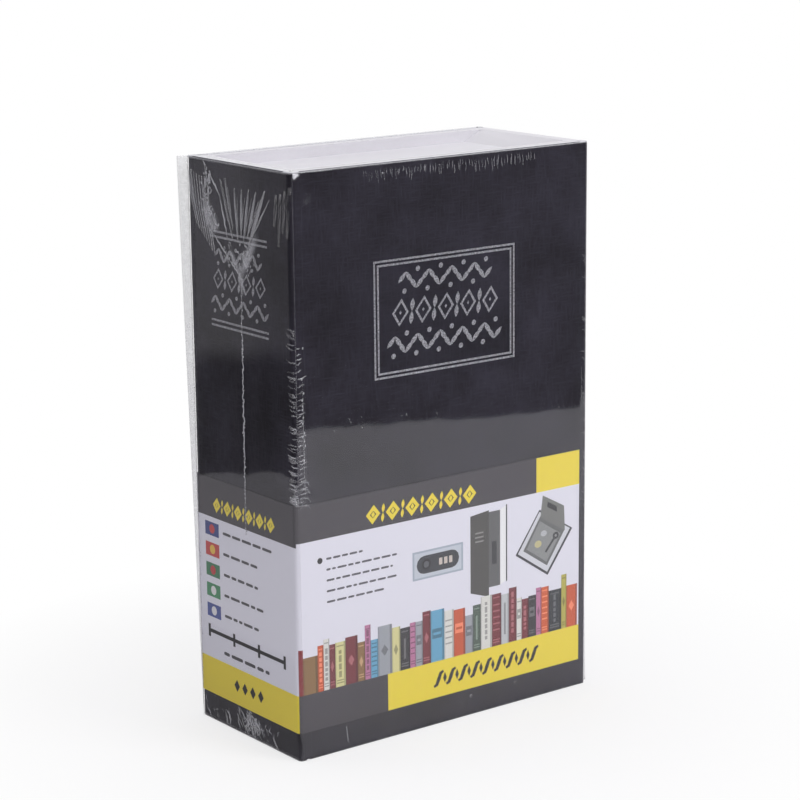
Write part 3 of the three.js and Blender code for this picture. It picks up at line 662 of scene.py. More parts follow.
def wheel_digits():
    """White digits on the ten flats of each wheel; they read across the lock, knob end first."""
    digits, height, depth = 10, 3.1, 0.06
    flat_share = 0.78  # share of a digit's arc taken by its flat
    upright = Matrix(((0, -1, 0, 0), (0, 0, -1, 0), (1, 0, 0, 0), (0, 0, 0, 1)))
    for wheel in (1, 2, 3):
        low, high = cad_box(f"number_wheel_{wheel}")
        flat = (high.x - low.x) / 2 * math.cos(flat_share * math.pi / digits)
        out = Matrix.Translation((0, -flat - depth / 4, 0))
        made = bmesh.new()
        for digit in range(digits):
            mesh = digit_mesh(digit, height, depth)
            turn = Matrix.Rotation(2 * math.pi * digit / digits, 4, "Z")
            mesh.transform(Matrix.Translation((low + high) / 2) @ turn @ out @ upright)
            made.from_mesh(mesh)
            bpy.data.meshes.remove(mesh)
        bmesh.ops.scale(made, vec=(MM, MM, MM), verts=made.verts)
        bmesh.ops.remove_doubles(made, verts=made.verts, dist=1e-7)
        mesh = bpy.data.meshes.new(f"wheel_{wheel}_digits")
        made.to_mesh(mesh)
        made.free()
        mesh.materials.append(WHITE_MARK)
        new_object(mesh.name, mesh, f"wheel_{wheel}", "black_plastic")


def lock_marks():
    """White index marks beside the wheels, and the knob's pointer."""
    marks = Art(on_front(-cad_box("lock_bezel")[0].y), MARK)
    for wheel in (1, 2, 3):
        low, high = cad_box(f"number_wheel_{wheel}")
        for x in (low.x + 0.2, high.x - 0.2):
            marks.add(oval(x, (low.z + high.z) / 2, 0.35, 0.35, 10))
    marks.piece("lock_index_marks", "lid", "dark_casting", WHITE_MARK)
    pointer = Art(on_front(-cad_box("knob")[0].y), MARK)
    x, _, z = middle_of("knob")
    pointer.bar(x - 0.3, x + 0.3, z + 1.5, z + 5.2)
    pointer.piece("knob_pointer", "latch", "dark_casting", WHITE_MARK)


# Silver ornament on cover and spine


def vine(art, u0, u1, v, height):
    """A running stem, with a pair of leaves and a berry in each of its bends."""
    lean, stroke = 0.12, 0.6
    waves = max(2, round((u1 - u0) / (height * 1.1)))
    pitch = (u1 - u0) / waves
    swing = height * 0.3
    steps = 12 * waves
    line = []
    for i in range(steps + 1):
        u = u0 + (u1 - u0) * i / steps
        line.append((u, v + swing * math.sin(2 * math.pi * (u - u0) / pitch)))
    art.add(leaning(ribbon(line, [stroke] * len(line)), lean, v), layer=1)
    for i in range(waves):
        for half, side in ((0.25, -1), (0.75, 1)):
            u = u0 + (i + half) * pitch
            root = v - side * swing
            for degrees in (48, 132):
                shape = leaf(u, root, height * 0.5, height * 0.19, side * degrees)
                art.add(leaning(shape, lean, v), layer=1.5 + 0.2 * side)
            berry = oval(u, root + side * height * 0.7, height * 0.1, height * 0.1, 12)
            art.add(leaning(berry, lean, v), layer=2)


def lozenge_chain(art, u0, u1, v, height, lean=0.1, stroke=0.75, colour=WHITE, layer=1):
    """Lozenge rings parted by pairs of leaves and a bead."""
    links = max(2, round((u1 - u0) / (height * 1.15)))
    pitch = (u1 - u0) / links
    across, along = pitch * 0.36, height / 2
    for i in range(links):
        u = u0 + (i + 0.5) * pitch
        outer = lozenge(u, v, across, along)
        inner = lozenge(u, v, across - stroke * 1.2, along - stroke * 1.5)
        art.add_ring(leaning(outer, lean, v), leaning(inner, lean, v), colour, layer)
        art.add(leaning(lozenge(u, v, stroke * 0.6, stroke * 0.8), lean, v), colour, layer)
        if i:
            edge = u - pitch / 2
            for degrees in (90, -90):
                shape = leaf(edge, v, along * 0.95, height * 0.2, degrees)
                art.add(leaning(shape, lean, v), colour, layer)


def foil_on_cover():
    art = Art(on_front(CLOTH_Y), FOIL)
    frame_u, frame_v, line, gap = (-27.4, 27.3), (114.5, 150.7), 0.62, 1.3
    for k in range(2):
        u0, u1 = frame_u[0] + k * gap, frame_u[1] - k * gap
        v0, v1 = frame_v[0] + k * gap, frame_v[1] - k * gap
        outer = rectangle(u0, u1, v0, v1)
        inner = rectangle(u0 + line, u1 - line, v0 + line, v1 - line)
        art.add_ring(outer, inner)
    vine(art, -17.7, 17.7, 143.7, 8.0)
    lozenge_chain(art, -21.8, 21.8, 134.1, 8.4, lean=0.12)
    vine(art, -22.0, 21.4, 124.3, 8.2)
    art.piece("cover_foil", "front_cover", "book_cloth", FOIL_SILVER)


def foil_on_spine():
    art = Art(on_spine(-BACK_LOW.x), FOIL)
    for v in (158.3, 156.7, 130.9, 129.3):
        art.bar(-15.8, 15.1, v - 0.33, v + 0.33)
    vine(art, -12.6, 11.8, 151.2, 6.2)
    lozenge_chain(art, -15.4, 15.0, 143.9, 6.6, lean=0.12, stroke=0.6)
    vine(art, -15.4, 15.0, 136.4, 6.6)
    art.piece("spine_foil", "book_body", "book_cloth", FOIL_SILVER)


# Print on the paper band


def greeked(art, u0, u1, v, height, rng, colour=TEXT_GREY):
    """A line of small print, as bars of word length."""
    u = u0
    while u < u1 - height:
        word = min(rng.uniform(2.2, 6.0) * height, u1 - u)
        art.add(pill(u, u + max(word, height * 1.2), v - height / 2, v + height / 2, 3), colour, 2)
        u += word + height * 0.8


def picture(art, u, v, shapes):
    """Flat shapes round (u, v), each with its shade and layer."""
    for outline, shade, layer in shapes:
        art.add([(u + a, v + b) for a, b in outline], srgb(*shade), layer)


def lock_picture(art, u, v):
    """A lock plate with three windows and a round knob, seen flat."""
    windows = [rectangle(start, start + 1.3, -1.1, 1.1) for start in (0.4, 2.4, 4.4)]
    picture(art, u, v, [
        (rectangle(-10, 10, -4.6, 4.6), (176, 186, 200), 2),
        (rectangle(-9.3, 9.3, -4.0, 4.0), (208, 214, 224), 3),
        (pill(-8.4, 8.4, -2.9, 2.9), (66, 68, 74), 4),
        *((window, (214, 204, 196), 5) for window in windows),
        (oval(-4.6, 0, 1.8, 1.8), (34, 34, 38), 5),
        (oval(-4.6, 0, 1.1, 1.1), (96, 98, 104), 6),
    ])


def book_picture(art, u, v):
    """A closed dark book with a white page edge, standing."""
    label = [rectangle(-5.6, -2.2, 6.0 - 1.4 * k, 6.5 - 1.4 * k) for k in range(3)]
    picture(art, u, v, [
        ([(-7.5, -13), (0, -15.5), (0, 13), (-7.5, 12.2)], (84, 83, 80), 2),
        (rectangle(0, 4.6, -12.4, 12.4), (104, 105, 106), 2),
        ([(4.6, -12.4), (7, -11.4), (7, 13.4), (4.6, 12.4)], (250, 250, 252), 2),
        ([(7, -11.8), (7.5, -11.6), (7.5, 13.8), (7, 13.6)], (60, 60, 62), 2),
        (rectangle(1.2, 3.2, -5, 2.5), (62, 62, 66), 3),
        *((line, (150, 149, 146), 3) for line in label),
    ])


def box_picture(art, u, v):
    """An open box, with a key and two coins in it, and its raised lid."""
    picture(art, u, v, [
        ([(-12, -3.5), (1.5, -12.5), (12, 1.5), (-2, 10)], (64, 64, 72), 2),
        ([(-11, -3.2), (1.3, -11.4), (11, 1.6), (-2, 9.3)], (222, 223, 230), 3),
        ([(-8.8, -2.6), (1.2, -9.2), (8.6, 1.4), (-1.6, 7.8)], (112, 114, 114), 4),
        ([(-7.4, -2.3), (1.0, -7.9), (6.9, 0.6), (-1.8, 6.2)], (150, 152, 152), 5),
        ([(-1.6, 7.4), (8.8, 1.2), (8.4, 9.6), (-0.6, 14.5)], (128, 129, 126), 5),
        ([(1.2, 10.4), (5.4, 8), (5.3, 9.9), (1.5, 12.1)], (58, 58, 62), 6),
        (oval(-2.6, -1.4, 1.5, 1.2), (206, 198, 150), 6),
        (oval(-0.2, 1.8, 1.3, 1.0), (196, 198, 202), 6),
        (ribbon([(0.6, -4.6), (4.2, -0.6)], [0.8, 0.8]), (70, 70, 74), 6),
    ])
    eye = (u + 4.9, v + 0.2)
    art.add_ring(oval(*eye, 1.3, 1.2), oval(*eye, 0.5, 0.45), srgb(70, 70, 74), 6)


def book_row(front):
    """A row of plain coloured book spines in a random order of their own."""
    rng = random.Random(19)
    u, previous = SPINE_X + BAND_CORNER, None
    while u < BAND_END - 1.2:
        width = min(rng.choice([2.2, 2.8, 3.2, 3.8, 4.6, 5.4]), BAND_END - u)
        top = BASE_TOP + rng.uniform(11.5, 17.5) + (u - SPINE_X) * 0.01
        colour = rng.choice([c for c in BOOK_COLOURS if c != previous])
        across_joint(front, u, u + width, BASE_TOP, top, colour, 3)
        across_joint(front, u + width * 0.84, u + width, BASE_TOP, top, dull(colour, 0.6), 4)
        across_joint(front, u, u + width * 0.1, BASE_TOP, top, dull(colour, 0.8), 4)
        if u > JOINT_HIGH.x:
            book_label(front, u, width, top, colour, rng)
        u += width
        previous = colour


def book_label(art, u, width, top, colour, rng):
    """Thin bands at both ends of one book's spine, and a motif between them."""
    pale = sum(colour[:3]) > 1.0
    label = dull(colour, 0.5) if pale else tuple(min(1, c * 1.8 + 0.1) for c in colour[:3]) + (1,)
    left, right, middle = u + width * 0.12, u + width * 0.82, u + width * 0.47
    tall = top - BASE_TOP
    if rng.random() < 0.6:
        for v in (BASE_TOP + 1.1, BASE_TOP + 1.9, top - 1.4):
            art.bar(left, right, v, v + 0.35, label, 5)
    style = rng.randrange(5)
    if style == 0:
        for share in (0.3, 0.42, 0.54, 0.66, 0.78):
            v = BASE_TOP + share * tall
            art.bar(left, right, v, v + 0.45, label, 5)
    elif style == 1:
        v = BASE_TOP + rng.uniform(0.45, 0.6) * tall
        art.bar(left, right, v, v + 3.2, label, 5)
        art.bar(left + 0.4, right - 0.4, v + 1.2, v + 2, colour, 6)
    elif style == 2:
        half, v0 = width * 0.11, BASE_TOP + rng.uniform(2.6, 4)
        art.bar(middle - half, middle + half, v0, top - rng.uniform(2, 4), label, 5)
    elif style == 3:
        art.add(lozenge(middle, (BASE_TOP + top) / 2, width * 0.26, 1.8), label, 5)
    else:
        v = BASE_TOP + 3
        while v < top - 3:
            length = rng.uniform(0.8, 2.2)
            art.bar(middle - 0.5, middle + 0.5, v, v + length, label, 5)
            v += length + 0.5


def across_joint(art, u0, u1, v0, v1, colour, layer):
    """A rectangle on the front, cut into strips where the cover bends."""
    edges = [u0, *(x for x in JOINT_CUTS if u0 < x < u1), u1]
    for left, right in zip(edges, edges[1:]):
        art.bar(left, right, v0, v1, colour, layer)


def round_spine(u, v, h):
    """A place on the band's spine side, which runs on round both corners."""
    flat = BAND_Y - BAND_CORNER
    if abs(u) <= flat:
        return (SPINE_X - h, -u, v)
    t = min((abs(u) - flat) / CORNER_ARC, 1)
    out = Vector((t - 1, t)).normalized() * h
    x = SPINE_X + BAND_CORNER * t * t + out.x
    y = BAND_Y - BAND_CORNER * (1 - t) ** 2 + out.y
    return (x, -math.copysign(y, u), v)


def across_corners(art, u0, u1, v0, v1, colour, layer):
    """A rectangle on the spine, cut into strips where it runs on round a corner."""
    cuts = [BAND_Y - BAND_CORNER + CORNER_ARC * i / 8 for i in range(9)]
    cuts = [-c for c in cuts] + cuts
    edges = sorted([u0, u1, *(c for c in cuts if u0 < c < u1)])
    for left, right in zip(edges, edges[1:]):
        art.bar(left, right, v0, v1, colour, layer)


def print_on_front():
    art = Art(on_front(BAND_Y), INK)
    rng = random.Random(3)
    start = SPINE_X + BAND_CORNER
    across_joint(art, start, BAND_END, BAND_FOOT, BAND_TOP, DARK_GREY, 0.5)
    across_joint(art, start, BAND_END, BASE_TOP, STRIP_FOOT, PANEL_WHITE, 1)
    art.bar(TILE_START, BAND_END, STRIP_FOOT, BAND_TOP, YELLOW, 1)
    art.bar(BANNER_START, BAND_END, BAND_FOOT, BASE_TOP, YELLOW, 1)
    headline = (-32.7, 12.5, 73.1)
    lozenge_chain(art, *headline, 6.6, stroke=1.5, colour=HEADLINE_EDGE, layer=2)
    lozenge_chain(art, *headline, 6.1, stroke=1.25, colour=YELLOW, layer=3)
    art.add(oval(-49, 62.2, 0.95, 0.95), NEAR_BLACK, 2)
    for v, end in ((62.4, -33), (59.0, -20), (55.6, -21.6), (52.2, -20), (48.8, -25)):
        greeked(art, -46.7, end, v, 0.65, rng)
    lock_picture(art, -4.0, 53.5)
    book_picture(art, 16.5, 53.5)
    box_picture(art, 39.5, 53.0)
    book_row(art)
    for i in range(9):
        u = -4.0 + i * 4.9
        wave = [(u - 1.9, 12.7), (u - 0.8, 13.2), (u, 15.0), (u + 0.8, 16.8), (u + 1.9, 17.3)]
        art.add(ribbon(wave, [0.8, 1.2, 1.4, 1.2, 0.8]), NEAR_BLACK, 2)
        if i < 8:
            art.add(lozenge(u + 2.45, 15.0, 0.7, 1.8), NEAR_BLACK, 2)
    bend_with_cover(art.piece("band_print_front", None, "band_paper", INKS))


def print_on_spine():
    art = Art(round_spine, INK)
    rng = random.Random(5)
    end = BAND_Y - BAND_CORNER + CORNER_ARC
    across_corners(art, -end, end, BASE_TOP, 67.5, PANEL_WHITE, 1)
    across_corners(art, -end, end, BAND_FOOT, BASE_TOP, YELLOW, 1)
    across_corners(art, end - 1.5, end, 67.5, STRIP_FOOT, PANEL_WHITE, 1)
    across_corners(art, end - 1.5, end, BAND_FOOT, BASE_TOP, DARK_GREY, 2)
    across_corners(art, end - 1.5, end, BASE_TOP, 35.5, BOOK_COLOURS[0], 3)
    headline = (-18.5, 17.1, 71.9)
    lozenge_chain(art, *headline, 5.4, stroke=1.25, colour=HEADLINE_EDGE, layer=2)
    lozenge_chain(art, *headline, 5.0, stroke=1.05, colour=YELLOW, layer=3)
    swatches = [
        (srgb(52, 70, 140), srgb(208, 64, 66)),
        (srgb(206, 60, 58), srgb(240, 196, 70)),
        (srgb(48, 128, 84), srgb(200, 52, 56)),
        (srgb(60, 148, 98), srgb(236, 236, 238)),
        (srgb(60, 80, 160), srgb(232, 232, 236)),
    ]
    for i, (field, mark) in enumerate(swatches):
        top = 65.8 - 6.7 * i
        art.bar(-22.5, -14.8, top - 4.4, top, field, 2)
        art.add(oval(-18.65, top - 2.2, 1.5, 1.5), mark, 3)
        greeked(art, -12.6, rng.uniform(6, 20.5), top - 2.3, 0.9, rng, srgb(76, 74, 80))
    # A scale bar with stops, grey bars and a row of lozenges below it
    art.bar(-21.5, 20, 29.3, 30.5, NEAR_BLACK, 2)
    for u in (-21.6, -7.6, 6.2, 20.1):
        art.bar(u - 0.6, u + 0.6, 27.8, 32, NEAR_BLACK, 3)
    greeked(art, -13.6, 11.8, 24.2, 1.1, rng, srgb(84, 82, 88))
    for i in range(4):
        art.add(lozenge(-6.6 + 4.4 * i, 15.2, 1.5, 2.0), NEAR_BLACK, 2)
    art.piece("band_print_spine", "book_body", "band_paper", INKS)


def print_on_back():
    art = Art(on_back(BAND_Y), INK)
    rng = random.Random(11)
    left, right = -BAND_END, -SPINE_X - BAND_CORNER
    art.bar(left, right, BASE_TOP, STRIP_FOOT, PANEL_WHITE, 1)
    art.bar(left, right, BAND_FOOT, BASE_TOP, YELLOW, 1)
    lozenge_chain(art, -20, 20, 74.3, 5.0, stroke=1.0, colour=YELLOW, layer=2)
    for column in (-48, -14, 20):
        for line in range(7):
            greeked(art, column, column + rng.uniform(18, 28), 62 - 3.4 * line, 0.7, rng)
    for i, u in enumerate((-30, 4, 38)):
        art.add(oval(u - 6, 29.5, 4.6, 4.6, 20), srgb(92, 94, 100), 2)
        art.add(oval(u - 6, 29.5, 3.7, 3.7, 20), srgb(206, 208, 214), 3)
        art.bar(u - 7.6, u - 4.4, 28.4, 31.4 - 0.8 * i, srgb(92, 94, 100), 4)
    art.piece("band_print_back", "book_body", "band_paper", INKS)


# Shrink film


def rounded_path(corners, radius):
    """Points along a line with rounded corners, their arc lengths, and where each corner is."""
    points, rounded = [Vector(corners[0])], []
    turns = round(radius * 8)
    for before, here, after in zip(corners, corners[1:], corners[2:]):
        here = Vector(here)
        back = (Vector(before) - here).normalized() * radius
        on = (Vector(after) - here).normalized() * radius
        rounded.append((len(points), len(points) + turns))
        for i in range(turns + 1):
            t = math.pi / 2 * i / turns
            points.append(here + back * (1 - math.sin(t)) + on * (1 - math.cos(t)))
    points.append(Vector(corners[-1]))
    lengths = [0.0]
    for a, b in zip(points, points[1:]):
        lengths.append(lengths[-1] + (b - a).length)
    return points, lengths, [(lengths[first], lengths[last]) for first, last in rounded]


def along_path(path, s):
    """Place and outward normal at arc length s; the outside is on the right."""
    points, lengths, _ = path
    i = max(0, min(int(np.searchsorted(lengths, s)) - 1, len(points) - 2))
    share = (s - lengths[i]) / max(lengths[i + 1] - lengths[i], 1e-9)
    here = points[i].lerp(points[i + 1], share)
    direction = (points[i + 1] - points[i]).normalized()
    return here, Vector((direction.y, -direction.x))


def spaced(start, end, fine, coarse, busy):
    """Positions from start to end, close together inside the busy spans."""
    made, s = [start], start
    while s < end - fine / 2:
        s += fine if any(low <= s <= high for low, high in busy) else coarse
        made.append(min(s, end))
    return made


def streak_field(u, v, streaks):
    """How strongly streaks, each (points, width, strength), mark the places u, v."""
    total = np.zeros_like(u)
    for points, width, strength in streaks:
        best = np.full_like(u, 1e9)
        where = np.zeros_like(u)
        lengths = [math.dist(a, b) for a, b in zip(points, points[1:])]
        done = 0.0
        for (a, b), length in zip(zip(points, points[1:]), lengths):
            along = ((u - a[0]) * (b[0] - a[0]) + (v - a[1]) * (b[1] - a[1])) / length**2
            along = np.clip(along, 0, 1)
            du = u - (a[0] + along * (b[0] - a[0]))
            dv = v - (a[1] + along * (b[1] - a[1]))
            gap = np.hypot(du, dv)
            nearer = gap < best
            best = np.where(nearer, gap, best)
            where = np.where(nearer, (done + along * length) / sum(lengths), where)
            done += length
        taper = np.sin(np.pi * np.clip(where * 0.92 + 0.06, 0, 1)) ** 0.6
        total += strength * taper * np.exp(-((best / width) ** 2))
    return total


def rippled(u, v, scale, seed):
    """Smooth noise from -1 to 1 at each place."""
    values = [
        noise.noise(Vector((a / scale, b / scale, seed))) for a, b in zip(u.ravel(), v.ravel())
    ]
    return np.array(values).reshape(u.shape)


def wandering(start, end, bends, sway, rng):
    """A line from start to end that strays to either side."""
    made = []
    for i in range(bends + 1):
        t = i / bends
        off = sway * rng.uniform(-1, 1) * math.sin(math.pi * t) if 0 < i < bends else 0
        direction = Vector((end[0] - start[0], end[1] - start[1])).normalized()
        made.append((
            start[0] + (end[0] - start[0]) * t - direction.y * off,
            start[1] + (end[1] - start[1]) * t + direction.x * off,
        ))
    return made


def crinkles(count, spot, spread, reach, width, strength, rng):
    """Short wandering lines scattered round a spot."""
    made = []
    for _ in range(count):
        u, v = rng.gauss(spot[0], spread[0]), rng.gauss(spot[1], spread[1])
        end = (u + rng.uniform(-reach, reach), v + rng.uniform(-reach, reach))
        line = wandering((u, v), end, 3, 0.25 * reach, rng)
        made.append((line, rng.uniform(0.6, 1.2) * width, rng.uniform(0.5, 1) * strength))
    return made


def spine_creases():
    """The film's marks on the spine, milky white and partly painted highlight: soft patches, and
    the lines gathered at its seam.
    """
    rng = random.Random(23)
    apex = (1.2, 146.4)  # where the pleats meet
    # Each pleat and each line is its points, its width and its strength
    pleats = [
        ([(-16.8, 166.5), (-15.2, 160.5)], 2.0, 0.4),
        ([(-13.2, 163), (-11.0, 158.5)], 1.5, 0.25),
        ([(9.4, 158.5), (5.2, 152.5), apex], 1.4, 0.35),
        ([(-3.6, 153), apex], 0.9, 0.3),
        ([apex, (2.4, 141.5)], 1.0, 0.25),
        ([(-26.5, 176), (-24, 166)], 1.8, 0.12),
    ]
    lines = []
    # A fan from the head down towards the apex
    for u, top, strength in (
        (-8.8, 174.5, 0.22), (-6.2, 175, 0.3), (-1.2, 172.5, 0.34), (2.8, 172.6, 0.4),
        (6.6, 173, 0.36), (10.4, 172.6, 0.42), (12.8, 170.5, 0.28), (15.0, 173.4, 0.5),
    ):
        reach = rng.uniform(0.5, 0.62)
        foot = (u + (apex[0] - u) * reach, top + (apex[1] - top) * reach)
        lines.append((wandering((u, top), foot, 5, 0.12, rng), 1.5, strength))
        side = u + rng.uniform(1.2, 2.2)
        lines.append((wandering((side, top - 2.5), foot, 5, 0.12, rng), 0.7, strength * 0.6))
    # Folds below the head, towards the back corner
    for i in range(8):
        top = (-26.4 + 1.5 * i, 177.0 - 0.5 * i + rng.uniform(-0.8, 0.8))
        foot = (-22.2 + 1.4 * i, 159.4 - 1.2 * i)
        bend = ((top[0] + foot[0]) / 2 - 0.7, (top[1] + foot[1]) / 2)
        lines.append(([top, bend, foot], rng.uniform(0.7, 1.2), rng.uniform(0.2, 0.42)))
    lines.append(([(-17.0, 178), (-16.2, 174.6), (-18.0, 170.5), (-17.0, 166)], 0.9, 0.5))
    # Sharp folds from the head to the apex
    for start, end, width in (
        ((-14.6, 176), (-9.0, 169.2), 0.9),
        ((-9.0, 169.2), (-5.4, 157), 1.0),
        ((-13.5, 158), (-5.0, 150.8), 0.7),
        ((-5.0, 150.8), apex, 0.8),
    ):
        lines.append((wandering(start, end, 9, 0.35, rng), width, 0.75))
    lines += crinkles(36, (-15.6, 173), (1.3, 2.4), 1.6, 0.75, 0.95, rng)
    lines += crinkles(60, (-14.8, 162.6), (1.7, 2.6), 1.8, 0.75, 0.8, rng)
    lines += crinkles(50, (4.4, 151.6), (2.0, 2.6), 1.6, 0.7, 0.75, rng)
    lines += crinkles(20, (-4.2, 151.2), (2.2, 1.6), 1.4, 0.65, 0.8, rng)
    # The seam below the apex, with knots along it
    for u, end in ((0.2, 141.6), (1.9, 140.6), (3.9, 141.4)):
        lines.append(([apex, (u, end)], 0.5, 0.55))
    seam = wandering((1.6, 146.5), (0.7, 66), 90, 0.5, rng)
    lines.append((seam, 0.7, 0.75))
    for i in range(58):
        v = 140 - 1.3 * i + rng.uniform(-0.3, 0.3)
        u = 1.5 - 0.8 * (146 - v) / 80 + rng.uniform(-0.35, 0.35)
        end = (u + rng.uniform(-0.5, 0.5), v + rng.uniform(-0.6, 0.6))
        lines.append(([(u, v), end], rng.uniform(0.8, 1.2), 1.0))
    # Faint streaks beside the front corner
    for i in range(4):
        u = 19.4 + 2.2 * i
        top = (u + 1.4, 176 - rng.uniform(0, 4))
        middle = (u + 0.8, top[1] - 5)
        foot = (u, top[1] - rng.uniform(9, 16))
        lines.append(([top, middle, foot], 1.8, rng.uniform(0.015, 0.035)))
    lines += foot_crumple(rng)
    # Ticks along the back corner
    for v in range(14, 176, 3):
        at = v + rng.uniform(-1.2, 1.2)
        if rng.random() < 0.6:
            lines.append(([(-26.9, at), (-25.6, at + rng.uniform(-1.4, 1.4))], 0.3, 0.3))
    # Rungs at the front corner
    corner = BAND_Y - FILM_CORNER
    for _ in range(80):
        above = rng.random() ** 1.6
        v = 80.4 + 58 * above
        start = (corner + 1.8, v)
        end = (corner - rng.uniform(-0.6, 2.0), v + rng.uniform(0.1, 1.2))
        strength = rng.uniform(0.1, 0.7) * (1 - 0.6 * above)
        lines.append((wandering(start, end, 5, 0.15, rng), rng.uniform(0.3, 0.5), strength))
    return pleats, lines


def foot_crumple(rng):
    """Folds of the film below the band on the spine, milky white and partly painted highlight."""
    made = []
    for _ in range(44):
        u, v = rng.gauss(-2, 8), rng.uniform(3.6, 8.6)
        end = (u + rng.uniform(0.4, 3.6), v - rng.uniform(1.8, 4.8))
        line = wandering((u, v), end, 4, 0.5, rng)
        made.append((line, rng.uniform(0.35, 0.75), rng.uniform(0.2, 0.8)))
    for end in (-2.6, -0.6, 1.6, 3.4):
        made.append((wandering((0.4, 8.6), (end, 0.8), 5, 0.6, rng), 0.7, 0.7))
    made += crinkles(30, (0.6, 4.4), (1.8, 2.0), 1.6, 0.65, 0.8, rng)
    made += crinkles(18, (8, 4.0), (3.6, 1.8), 1.6, 0.45, 0.7, rng)
    made += crinkles(8, (-20, 4.0), (2.6, 1.6), 1.6, 0.5, 0.35, rng)
    return [([(u, min(max(v, 0.5), 8.7)) for u, v in points], *rest) for points, *rest in made]


def front_creases():
    """The film's marks on the front, milky white and partly painted highlight: rungs beside the
    spine, ticks along head and fore-edge.
    """
    rng = random.Random(31)
    pleats, lines = [], []
    # Rungs beside the spine, some with a fleck of painted highlight
    left, v = SPINE_X + FILM_CORNER + 0.1, 128.0
    while v > 80:
        length = rng.uniform(1.2, 3.6)
        points = wandering((left, v), (left + length, v + rng.uniform(0.1, 0.9)), 5, 0.22, rng)
        lines.append((points, rng.uniform(0.3, 0.5), rng.uniform(0.2, 0.7)))
        if rng.random() < 0.4:
            u = left + rng.uniform(1.6, 2.6)
            lines.append(([(u, v - 0.3), (u + 0.1, v + 0.3)], 0.7, 1.0))
        v -= rng.uniform(1.0, 2.6) * (0.5 + 0.5 * (v - 78) / 50)
    # A faint upright line through them
    lines.append((wandering((left + 2.1, 118), (left + 2.3, 81), 18, 0.25, rng), 0.5, 0.12))
    # Bows at their foot
    for v in (86.5, 84.2, 81.6, 79.4):
        bow = [(left, v), (left + 1.6, v + 1.1), (left + 3.2, v + 0.9), (left + 4.2, v - 0.6)]
        lines.append((bow, 0.35, 0.5))
    # Ticks below the head
    for i in range(62):
        u, v = -31 + 1.08 * i + rng.uniform(-0.4, 0.4), rng.uniform(177.4, 178.6)
        end = (u + rng.uniform(-0.3, 0.4), v - rng.uniform(1.4, 3.8))
        strength = rng.uniform(0.1, 0.42) * min(1, (u + 36) / 20)
        lines.append((wandering((u, v), end, 4, 0.18, rng), 0.3, strength))
    lines.append(([(-23.8, 176.7), (-23.7, 177.2)], 0.7, 1.0))
    # Ticks along the fore-edge
    for _ in range(34):
        v, u = rng.uniform(60, 150), FORE_EDGE - rng.uniform(0.3, 1.4)
        end = (u - rng.uniform(0.5, 1.4), v + rng.uniform(0.2, 1.2))
        lines.append(([(u, v), end], 0.3, rng.uniform(0.15, 0.4)))
    # Flecks across the middle
    for _ in range(16):
        u = rng.uniform(-44, 50)
        v = 105 - 0.12 * (u + 50) + rng.uniform(-3, 2)
        lines.append(([(u, v), (u + 0.3, v + 0.3)], rng.uniform(0.5, 0.9), 0.12))
    # A tick and two small rings of painted highlight near the tail
    lines.append(([(-40.2, 7.6), (-39.6, 2.4)], 0.4, 0.8))
    for u, v in ((9.0, 6.4), (27.5, 6.9)):
        ring = [(u + 0.55 * math.cos(t), v + 0.45 * math.sin(t)) for t in np.linspace(0, 5.2, 9)]
        lines.append((ring, 0.3, 0.8))
    # A white spot at the head's corner, and a faint streak below it
    pleats.append(([(-56.9, 179.1), (-54.2, 179.0)], 0.4, 1.7))
    pleats.append(([(-55.7, 178.9), (-55.5, 178.1)], 0.4, 1.5))
    pleats.append(([(-52.5, 174), (-50.8, 170.6)], 0.3, 0.08))
    return pleats, lines


def smooth(low, high, x):
    t = np.clip((x - low) / (high - low), 0, 1)
    return t * t * (3 - 2 * t)


def film_lift(v, on_paper):
    """How far the film lies outside the band's plane: pulled straight from band to edges."""
    drop = FILM_OVER_BAND + BAND_Y - FILM_OVER_CLOTH - CLOTH_Y
    above = np.clip((v - BAND_TOP) / (HEIGHT - BAND_TOP), 0, 1)
    below = np.clip((BAND_FOOT - v) / BAND_FOOT, 0, 1)
    return FILM_OVER_BAND - drop * np.maximum(np.maximum(above, below), 1 - on_paper)


def crease_lines(lines, place, lift):
    """Ridges along lines of (u, v), milky white at the crest, partly a painted highlight: vertices,
    faces and milkiness.
    """
    clear_of_sheet, steepness = 0.02, 0.3
    vertices, faces, milk_and_highlight = [], [], []
    for points, width, strength in lines:
        first, last = len(vertices), len(points) - 1
        for i, ((u, v), way) in enumerate(zip(points, ways(points))):
            taper = math.sin(math.pi * (i + 0.4) / (last + 0.8))
            half = width / 2 * (0.3 + 0.7 * taper)
            crest = steepness * half
            for off, rise, share in ((-half, 0.0, 0), (0, crest, 1), (half, 0.0, 0)):
                a, b = u - way.y * off, v + way.x * off
                vertices.append(place(a, b, lift(a, b) + clear_of_sheet + rise))
                # Milky white at the crest only, partly a painted highlight along the ridge
                milk_and_highlight.append(strength * share * (0.25 + 0.75 * taper))
        faces += turned_over(grid_faces(len(points), 3, first))
    return vertices, faces, milk_and_highlight


def film_piece(name, vertices, faces, milk_and_highlight, thickness, offset, body=None):
    """A piece of film: its milkiness at each point, partly painted highlight, and its thickness in
    millimetres.
    """
    mesh = mesh_of(name, vertices, faces)
    marks = mesh.attributes.new("milk_and_highlight", "FLOAT", "POINT")
    marks.data.foreach_set("value", np.array(milk_and_highlight, np.float32))
    shade_smooth(mesh)
    mesh.materials.append(FILM_CLEAR)
    piece = new_object(name, mesh, body)
    solid = piece.modifiers.new("thickness", "SOLIDIFY")
    solid.thickness = thickness * MM
    solid.offset = offset
    return piece


